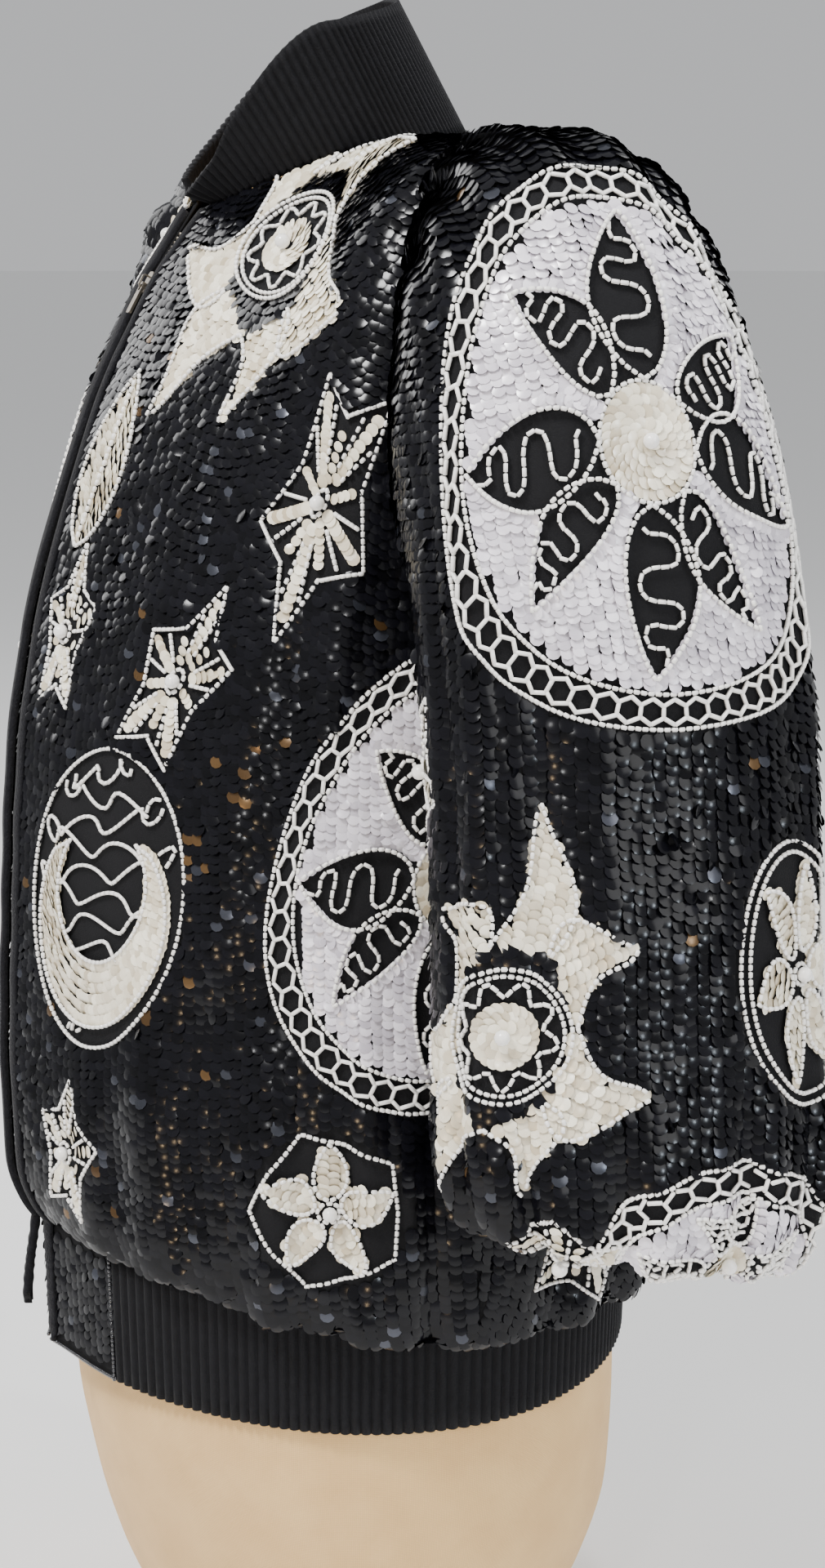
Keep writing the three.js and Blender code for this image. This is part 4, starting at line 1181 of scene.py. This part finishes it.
# Where the motifs lie. The body's two halves and the sleeves are measured on the left side's
# skin: kind, angle round, place down, half width, half height and turn in degrees.
PLACED = {
    "body_left": [
        ("sun", 0.80, 0.125, 84, 128, 46),
        ("leaf", 0.150, 0.240, 21, 44, 14),
        ("star", 0.135, 0.402, 24, 44, 6),
        ("star", 1.03, 0.398, 42, 62, -6),
        ("star", 0.600, 0.478, 37, 43, 34),
        ("moon", 0.365, 0.655, 60, 73, 4),
        ("medallion", 1.50, 0.700, 92, 108, 0),
        ("star", 0.235, 0.880, 27, 40, 10),
        ("flower", 1.12, 0.885, 40, 40, -20),
        ("star", 1.86, 0.915, 36, 36, 20),
        ("medallion", math.pi, 0.470, 96, 104, -12),
        ("star", 2.20, 0.470, 38, 46, 12),
        ("sun", 2.36, 0.775, 84, 84, 15),
        ("star", 2.66, 0.150, 36, 42, 0),
        ("flower", 2.95, 0.880, 38, 38, 10),
    ],
    "body_right": [
        ("sun", 0.84, 0.130, 88, 122, -34),
        ("leaf", 0.190, 0.262, 21, 42, 22),
        ("star", 0.62, 0.385, 38, 46, 12),
        ("star", 0.20, 0.445, 30, 40, -12),
        ("star", 1.12, 0.480, 36, 44, 20),
        ("moon", 0.44, 0.690, 60, 72, -14),
        ("medallion", 1.56, 0.690, 92, 108, 18),
        ("flower", 0.92, 0.880, 40, 38, 0),
        ("star", 0.28, 0.900, 27, 34, -14),
        ("star", 1.95, 0.905, 36, 36, -15),
        ("medallion", math.pi, 0.470, 96, 104, -12),
        ("star", 2.28, 0.440, 38, 44, -18),
        ("moon", 2.34, 0.745, 60, 70, 10),
        ("star", 2.62, 0.165, 34, 40, 14),
        ("flower", 2.95, 0.880, 38, 38, 10),
    ],
    "sleeve_left": [
        ("medallion", 1.575, 0.392, 97, 121, -6),
        ("sun", 2.50, 0.715, 78, 104, 12),
        ("oval_flower", 0.80, 0.690, 37, 60, -4),
        ("medallion", 1.30, 0.905, 70, 50, 0),
        ("star", 2.20, 0.915, 32, 28, 0),
        ("star", -0.15, 0.480, 36, 46, 12),
        ("flower", -0.30, 0.760, 38, 40, 0),
        ("star", 3.60, 0.500, 34, 42, -16),
        ("star", 0.06, 0.205, 34, 40, 10),
    ],
    "sleeve_right": [
        ("medallion", 1.60, 0.400, 97, 119, 10),
        ("sun", 2.30, 0.725, 78, 100, -14),
        ("oval_flower", 0.72, 0.680, 37, 58, 8),
        ("medallion", 1.20, 0.905, 70, 50, 0),
        ("star", 2.30, 0.915, 32, 28, 10),
        ("star", -0.10, 0.470, 36, 44, -10),
        ("flower", -0.35, 0.740, 38, 40, 20),
        ("star", 3.50, 0.510, 34, 42, 20),
        ("star", 0.10, 0.215, 34, 40, 0),
    ],
}


# How far a place may be off its flat coordinates, and how near the ends of a panel it may lie.
PLACE_ERROR, TOP_MARGIN, BOTTOM_MARGIN = 1.0, 0.006, 0.985


def placed_motifs(place):
    """Each motif of a place with the angle and level of its middle."""
    return [(KINDS[kind](rx, ry).turn(degrees), u, v) for kind, u, v, rx, ry, degrees in PLACED[place]]


def on_panel(skin, at, way, mu, mv, low, high):
    """The flat places that lie on the panel, put on the skin with their directions and normals."""
    u, v = skin.solve(at[:, 0], at[:, 1], mu, mv)
    x, y = skin.local(u, v, mu, mv)
    found = np.hypot(x - at[:, 0], y - at[:, 1]) < PLACE_ERROR
    found &= (u > low(v)) & (u < high(v)) & (v > TOP_MARGIN) & (v < BOTTOM_MARGIN)
    return [part[found] for part in skin.frames(u, v, way[:, 0], way[:, 1])]


def sew_panel(name, skin, start, low, high, levels, place, mirror):
    """Black columns wherever no motif lies, then what each motif has."""
    u, v = column_places(skin, start, low, high, *levels)
    motifs = placed_motifs(place)
    slots = black_slots(u, v)
    kept = np.full(len(u), True)
    for motif, mu, mv in motifs:
        at = np.stack(skin.local(u, v, mu, mv), -1)
        near = np.flatnonzero((np.abs(at) < motif.reach).all(-1))
        for outline in motif.bare:
            kept[near[inside(at[near], outline)]] = False
    u, v, slots = u[kept], v[kept], slots[kept]
    drift = 0.06 * np.sin(9 * u + 31 * v) + 0.05 * np.sin(23 * u - 17 * v + 1.0)
    load = Load()
    load.add_sequins(*skin.downward(u, v), slots, lean=0.27 + drift)
    for motif, mu, mv in motifs:
        for at, way, slot, scale in motif.sequins:
            placed = on_panel(skin, at, way, mu, mv, low, high)
            load.add_sequins(*placed, slot, lean=0.26, wild=0.01, scale=scale)
        for at, way, kind, lift in motif.beads:
            place_at, along, normal = on_panel(skin, at, way, mu, mv, low, high)
            load.add_beads(BEAD_SHAPES[kind], place_at + normal * lift, along, normal)
    load.finish(name, mirror)


# Panels of cloth.
GROUND_LIFT, SEAM, CROWN_SEAM = -0.2, 0.15, 0.6
BODY_LEVELS, SLEEVE_LEVELS, TAB_LEVELS = (0.004, 0.985), (0.008, 0.965), (0.03, 0.97)
# Each side, and whether it is the left side's mirror image.
SIDES = (("left", False), ("right", True))


def panel_rows():
    """The levels of a front or back, with the armhole's angle beside the levels that it has."""
    shoulder = [(v, None) for v in np.linspace(0, V_SHOULDER, 14)]
    hole = [(float(armhole_level(phi)), phi) for phi in np.linspace(math.pi / 2, -math.pi / 2, 36)[1:-1]]
    below = [(v, None) for v in (*np.linspace(V_UNDERARM, 0.88, 22), *np.linspace(0.89, 1.0, 18))]
    return shoulder + hole + below


def panel_grid(front):
    """Angles and levels over a front, or over the whole back."""
    rows = panel_rows()
    v = np.array([[level_v] for level_v, _ in rows])
    seam = np.array([[math.pi / 2 if phi is None else float(armhole_angle(math.pi - phi if front else phi))]
                     for _, phi in rows])
    low, high = (edge_angle(GAP["half"](v), v * 0.9999), seam) if front else (seam, TAU - seam)
    u = low + (high - low) * np.linspace(0, 1, 44 if front else 80)
    return u, np.broadcast_to(v, u.shape)


def inset(grid, left=0.0, right=0.0, top=0.0, bottom=0.0):
    """Draws the edges of a grid in, to leave the gaps of its seams."""
    def pull(line, other, by):
        return line + unit(other - line) * by
    grid[:, 0] = pull(grid[:, 0], grid[:, 1], left)
    grid[:, -1] = pull(grid[:, -1], grid[:, -2], right)
    grid[0] = pull(grid[0], grid[1], top)
    grid[-1] = pull(grid[-1], grid[-2], bottom)
    return grid


def mirrored_read(u, v):
    """Points and normals of the body's skin for angles on both sides of the centre back."""
    other = u > math.pi
    near = np.where(other, TAU - u, u)
    flip = np.where(other, -1, 1)[..., None] * np.array([1, 0, 0]) + np.array([0, 1, 1])
    points = BODY_SKIN.read(BODY_SKIN.points, near, v) * flip
    return points, unit(BODY_SKIN.read(BODY_SKIN.normals, near, v)) * flip


def add_front(side, mirror):
    points, normals = mirrored_read(*panel_grid(front=True))
    points = inset(points, right=SEAM, top=SEAM, bottom=SEAM)
    cloth(f"cloth_front_{side}", f"front_{side}", points, normals, CLOTH, GROUND,
          lift=GROUND_LIFT, mirror=mirror)
    sew_panel(f"front_{side}", BODY_SKIN, 0.02, front_low, front_high, BODY_LEVELS, f"body_{side}", mirror)


def add_back():
    points, normals = mirrored_read(*panel_grid(front=False))
    points = inset(points, left=SEAM, right=SEAM, top=SEAM, bottom=SEAM)
    cloth("cloth_back", "back", points, normals, CLOTH, GROUND,
          lift=GROUND_LIFT)
    for side, mirror in SIDES:
        sew_panel(f"back_{side}", BODY_SKIN, math.pi - 0.001, back_low, level(math.pi), BODY_LEVELS,
                  f"body_{side}", mirror)


def add_sleeve(side, mirror):
    s = grid_levels((0, 0.12, 14), (0.12, 0.8, 44), (0.8, 1.0, 26))[:, None]
    phi = np.linspace(-math.pi / 2, 1.5 * math.pi, 73)[None, :-1]
    phi, s = np.broadcast_arrays(phi, s)
    points = inset(SLEEVE_SKIN.read(SLEEVE_SKIN.points, phi, s).copy(), top=CROWN_SEAM)
    normals = unit(SLEEVE_SKIN.read(SLEEVE_SKIN.normals, phi, s))
    cloth(f"cloth_sleeve_{side}", f"sleeve_{side}", points, normals, CLOTH, GROUND,
          lift=GROUND_LIFT, closed=True, mirror=mirror,
          flip=True)
    low, high = level(-math.pi / 2 + 0.01), level(1.5 * math.pi - 0.01)
    sew_panel(f"sleeve_{side}", SLEEVE_SKIN, math.pi / 2, low, high, SLEEVE_LEVELS, f"sleeve_{side}", mirror)


# Knitted rib pieces.
RIB_POINTS = 6
COLLAR_RIBS, HEM_RIBS, CUFF_RIBS = 108, 160, 44
COLLAR_START, CUFF_RIB_HEIGHT = 14.0, 1.2


def add_rib(name, node, surface, start, ribs, height, rows, top=0.2, flip=1,
            closed=False, mirror=False):
    """A strip of rounded ribs from an angle right round to the same angle on the other side."""
    us = np.linspace(start, TAU - start, ribs * RIB_POINTS + 1)
    skin = Skin(surface, us, np.linspace(0, 1, rows), flip=flip)
    points, normals = inset(skin.points.copy(), top=top), skin.normals
    wave = height * np.abs(np.sin(math.pi * np.linspace(0, ribs, len(us)))) ** 0.7
    raised = points + normals * wave[None, :, None]
    if closed:
        raised, points, normals = raised[:, :-1], points[:, :-1], normals[:, :-1]
    cloth(name, node, raised, normals, RIB_WALL, RIB, cut=points,
          closed=closed, mirror=mirror, flip=flip < 0)


def add_ribs():
    start = float(edge_angle(COLLAR_START, np.array(0.0)))
    add_rib("rib_collar", "collar", collar, start, COLLAR_RIBS, 1.9, 14, top=0.1, flip=-1)
    start = float(edge_angle(float(TAB_WIDTH), np.array(1.0)))
    add_rib("rib_hem", "hem_band", hem, start, HEM_RIBS, 2.0, 8)
    for side, mirror in SIDES:
        add_rib(f"rib_cuff_{side}", f"cuff_{side}", cuff, 0, CUFF_RIBS, CUFF_RIB_HEIGHT, 7,
                flip=-1, closed=True, mirror=mirror)


# The hem tabs, edge strips and zip.
TAB_START, TAB_WALL = 3.4, 2.2


def add_tab(side, mirror):
    low, high = (float(edge_angle(float(x), np.array(1.0))) for x in (TAB_START, TAB_WIDTH))
    skin = Skin(hem, np.linspace(low, high, 26), np.linspace(0, 1, 20))
    points = inset(skin.points.copy(), right=SEAM, top=0.2)
    cloth(f"cloth_tab_{side}", f"hem_tab_{side}", points, skin.normals, TAB_WALL, GROUND,
          cut=skin.points, lift=GROUND_LIFT, mirror=mirror)
    load = Load()
    u, v = column_places(HEM_SKIN, low, level(low + 0.004), level(high - 0.006), *TAB_LEVELS)
    load.add_sequins(*HEM_SKIN.downward(u, v), black_slots(u, v), scale=0.85)
    edge_beads(load, skin)
    load.finish(f"tab_{side}", mirror)


def edge_beads(load, skin):
    """Small black beads along the tab's seam to the rib and its lower edge."""
    template = bead_template(2.2, 1.1)
    u_end, v_end = skin.us[-1], skin.vs[-1]
    lines = (
        (np.full(30, u_end - 0.006), np.linspace(0, v_end, 30), 0.0, 1.0),
        (np.linspace(skin.us[0], u_end, 32), np.full(32, v_end - 0.01), 1.0, 0.0),
    )
    for u, v, x, y in lines:
        load.add_beads(template, *skin.frames(u, v, np.full_like(u, x), np.full_like(u, y)), slot=BLACK_BEAD)


# The strips beside the zip, in millimetres: width, how far down w they reach, how far they stand
# out over the chest and hang loose at the bottom, and how thick they are.
STRIPS = {
    "left": dict(side=1, wide=6.5, ends=1.98, proud=0.0, hangs=0.0, thick=1.8),
    "right": dict(side=-1, wide=14.0, ends=1.76, proud=2.5, hangs=8.0, thick=3.4),
}
STRIP_LIFT, STRIP_GAP, STRIP_TAPER = 2.5, 0.4, 0.12


def front_normals(x, w):
    step_x, step_w = 0.15, 0.003
    across = front_skin(x + step_x, w) - front_skin(x - step_x, w)
    down = front_skin(x, np.minimum(w + step_w, 1.999)) - front_skin(x, w - step_w)
    return unit(np.cross(down, across))


def add_strip(name, side, wide, ends, proud, hangs, thick):
    w = grid_levels((0.012, 0.9, 90), (0.9, 1.02, 16), (1.02, ends, 30))[:, None]
    stands = proud * smooth((w - 0.12) / 0.3) + hangs * smooth((w - 0.8) / (ends - 0.8))
    narrowed = wide * np.sin(math.pi / 2 * np.clip((ends - w) / STRIP_TAPER, 0.25, 1))
    t = np.linspace(-0.5, 0.5, 9)[None]
    x = side * (GAP["half"](w) + STRIP_GAP + wide / 2 + t * narrowed)
    w = np.broadcast_to(w, x.shape)
    normals = front_normals(x, w)
    crown = 0.4 * thick * (1 - (2 * t) ** 2) + 0.25 * np.sin(60 * w + 3 * np.sin(9 * w))
    points = front_skin(x, w) + normals * (stands + STRIP_LIFT + crown)[..., None]
    cloth(f"strip_{name}", f"placket_{name}", points, normals, thick, PILE,
          flip=side < 0)


TAPE_WIDTH, TAPE_WALL, TAPE_BEHIND = 13, 0.9, RIB_WALL + 0.9


def add_tape(name, side):
    w = grid_levels((0.02, 0.9, 60), (0.9, 1.9, 30))[:, None]
    inner = np.maximum(GAP["half"](w) - 3.0, 0.5)
    x = side * (inner + np.linspace(0, TAPE_WIDTH, 7)[None])
    w = np.broadcast_to(w, x.shape)
    normals = np.zeros(x.shape + (3,)) + np.array([0, -1, 0])
    points = front_skin(x, w) - normals * TAPE_BEHIND
    cloth(f"tape_{name}", f"zip_tape_{name}", points, normals, TAPE_WALL, TAPE,
          flip=side < 0)


TOOTH_PITCH, TOOTH_LENGTH, TOOTH_RADIUS, TOOTH_ROOT = 2.7, 3.4, 1.25, 0.9
SLIDER_AT = 0.088


def add_teeth():
    """The zip's teeth: closed below the slider, and parted along each tape's edge above it."""
    parts = []
    for side in (1, -1):
        w = np.linspace(0.03, 1.9, 1500)
        inner = np.where(w > SLIDER_AT, TOOTH_ROOT, np.maximum(GAP["half"](w) - 3.2, TOOTH_ROOT))
        line = front_skin(side * inner, w) + np.array([0, RIB_WALL + 0.6, 0])
        way = run_of(line)
        stops = np.arange(TOOTH_PITCH * (0.5 if side > 0 else 1.0), way[-1], TOOTH_PITCH)
        at = np.stack([np.interp(stops, way, line[:, k]) for k in range(3)], -1)
        across, out = (np.broadcast_to(np.array(to, float), at.shape) for to in ((side, 0, 0), (0, -1, 0)))
        parts.append(scatter(bead_template(TOOTH_LENGTH, TOOTH_RADIUS, full=0.42), at, across, out))
    obj = make_object("zip_teeth", *joined(parts), [METAL])
    settle(obj)


# The dress form.
FORM_SIDES, LINEN_ROUND_M = 96, 0.95
FOOT_SHARES, NECK_SHARES, NECK_DOME = (0.1, 0.6), (0.92, 0.75, 0.45, 0.1), 6


def add_form():
    """The linen cover: rings from the base to the neck, with rings that close in at both ends."""
    zs = np.concatenate([np.linspace(14.3, 250, 30), np.linspace(262, 740, 26), np.linspace(748, 834, 24)])
    rings = form(*np.meshgrid(np.arange(FORM_SIDES) * TAU / FORM_SIDES, zs))
    foot, neck = rings[0].mean(0), rings[-1].mean(0)
    low = [foot + (rings[0] - foot) * share for share in FOOT_SHARES]
    top = [neck + (rings[-1] - neck) * share + (0, 0, NECK_DOME * (1 - share ** 2)) for share in NECK_SHARES]
    grid = np.concatenate([low, rings, top])
    r = np.arange(len(grid) - 1)[:, None] * FORM_SIDES
    c = np.arange(FORM_SIDES)
    n = (c + 1) % FORM_SIDES
    faces = faces_of(r + c, r + n, r + n + FORM_SIDES, r + c + FORM_SIDES)
    left = faces[:, 0] % FORM_SIDES / FORM_SIDES * LINEN_ROUND_M
    right = left + LINEN_ROUND_M / FORM_SIDES
    height = np.concatenate([[0, 0], zs, np.full(len(NECK_SHARES), zs[-1])]) * MM
    uv = np.stack([np.stack([left, right, right, left], -1), height[faces // FORM_SIDES]], -1)
    obj = make_object("form_cover", grid, faces, [LINEN], uv=uv)
    close_ends(obj)
    settle(obj, ["dress_form"])


def close_ends(obj):
    """Closes the small openings at the two ends of a stack of rings."""
    mesh = bmesh.new()
    mesh.from_mesh(obj.data)
    bmesh.ops.holes_fill(mesh, edges=[edge for edge in mesh.edges if edge.is_boundary], sides=0)
    mesh.to_mesh(obj.data)
    mesh.free()


CAD_LOOKS = {"form_base": BASE, "zip_slider": METAL, "zip_arch": METAL, "zip_pull": METAL}


def finish_cad_nodes():
    for name, look in CAD_LOOKS.items():
        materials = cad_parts[name].data.materials
        materials.clear()
        materials.append(look)


# The room: a wide pale floor, soft lights and the photograph's camera.
FLOOR_RADIUS, FLOOR_SIDES = 40000.0, 48


def add_floor():
    rim = np.append(oval(FLOOR_RADIUS, FLOOR_RADIUS, FLOOR_SIDES), np.zeros((FLOOR_SIDES, 1)), axis=1)
    k = np.arange(FLOOR_SIDES)
    look = Look("floor_paint", (0.88, 0.88, 0.875), 0.6).gloss(6, 3.0, 0.5, 0.7)
    faces = faces_of(FLOOR_SIDES, (k + 1) % FLOOR_SIDES, k)
    make_object("floor", np.vstack([rim, [[0, 0, 0]]]), faces, [look.material])


CAMERA = {"azimuth": 72.0, "distance": 1.45, "height": 0.770, "aim_right": 0.034, "aim_height": 0.480,
          "focal_px": 3480, "image_height_px": 1920, "sensor_mm": 36}


def place(name, data, location, target):
    """Puts a light or a camera in the scene, turned to its target."""
    obj = bpy.data.objects.new(name, data)
    obj.location = location
    obj.rotation_euler = (target - location).to_track_quat("-Z", "Y").to_euler()
    bpy.context.scene.collection.objects.link(obj)
    return obj


def toward(azimuth, elevation=0.0):
    a, e = math.radians(azimuth), math.radians(elevation)
    return Vector((math.sin(a) * math.cos(e), -math.cos(a) * math.cos(e), math.sin(e)))


def add_camera():
    data = bpy.data.cameras.new("camera")
    data.sensor_width = CAMERA["sensor_mm"]
    data.lens = CAMERA["focal_px"] / CAMERA["image_height_px"] * data.sensor_width
    eye = toward(CAMERA["azimuth"]) * CAMERA["distance"] + Vector((0, 0, CAMERA["height"]))
    aim = toward(CAMERA["azimuth"] + 90) * CAMERA["aim_right"] + Vector((0, 0, CAMERA["aim_height"]))
    bpy.context.scene.camera = place("camera", data, eye, aim)


LIGHT_TARGET = Vector((0, 0, 0.5))
LIGHTS = (
    # Name, azimuth and elevation in degrees, distance, width and height in metres, watts, colour.
    ("key", 30, 52, 2.6, 0.6, 0.6, 95, (1, 1, 1)),
    ("fill", 115, 25, 2.8, 1.4, 1.4, 26, (1, 1, 1)),
    ("back_left", 200, 35, 2.8, 1.2, 1.6, 30, (1, 1, 1)),
    ("back_right", 300, 30, 2.8, 1.2, 1.6, 30, (1, 1, 1)),
    ("glint_high", 95, 62, 2.4, 0.12, 0.12, 14, (1, 1, 1)),
    ("glint_side", 140, 40, 2.4, 0.10, 0.10, 8, (1, 1, 1)),
    ("glint_front", 60, 20, 2.4, 0.10, 0.10, 6, (1, 1, 1)),
    ("glint_warm", 48, -2, 2.2, 0.12, 0.12, 5, (1.0, 0.72, 0.42)),
    ("glint_cool", 120, 8, 2.4, 0.12, 0.12, 6, (0.8, 0.9, 1.0)),
)


def add_lights():
    for name, azimuth, elevation, distance, wide, tall, watts, color in LIGHTS:
        data = bpy.data.lights.new(name, "AREA")
        data.shape = "RECTANGLE"
        data.size, data.size_y = wide, tall
        data.energy = watts
        data.color = color
        place(name, data, LIGHT_TARGET + toward(azimuth, elevation) * distance, LIGHT_TARGET)


def add_world():
    world = bpy.data.worlds.new("room")
    world.use_nodes = True
    inputs = world.node_tree.nodes["Background"].inputs
    inputs["Color"].default_value = (0.97, 0.98, 1.0, 1)
    inputs["Strength"].default_value = 0.58
    bpy.context.scene.world = world


add_camera()
add_floor()
add_lights()
add_world()
for side, mirror in SIDES:
    add_front(side, mirror)
    add_sleeve(side, mirror)
    add_tab(side, mirror)
add_back()
add_ribs()
for name, sizes in STRIPS.items():
    add_strip(name, **sizes)
    add_tape(name, sizes["side"])
add_teeth()
add_form()
finish_cad_nodes()
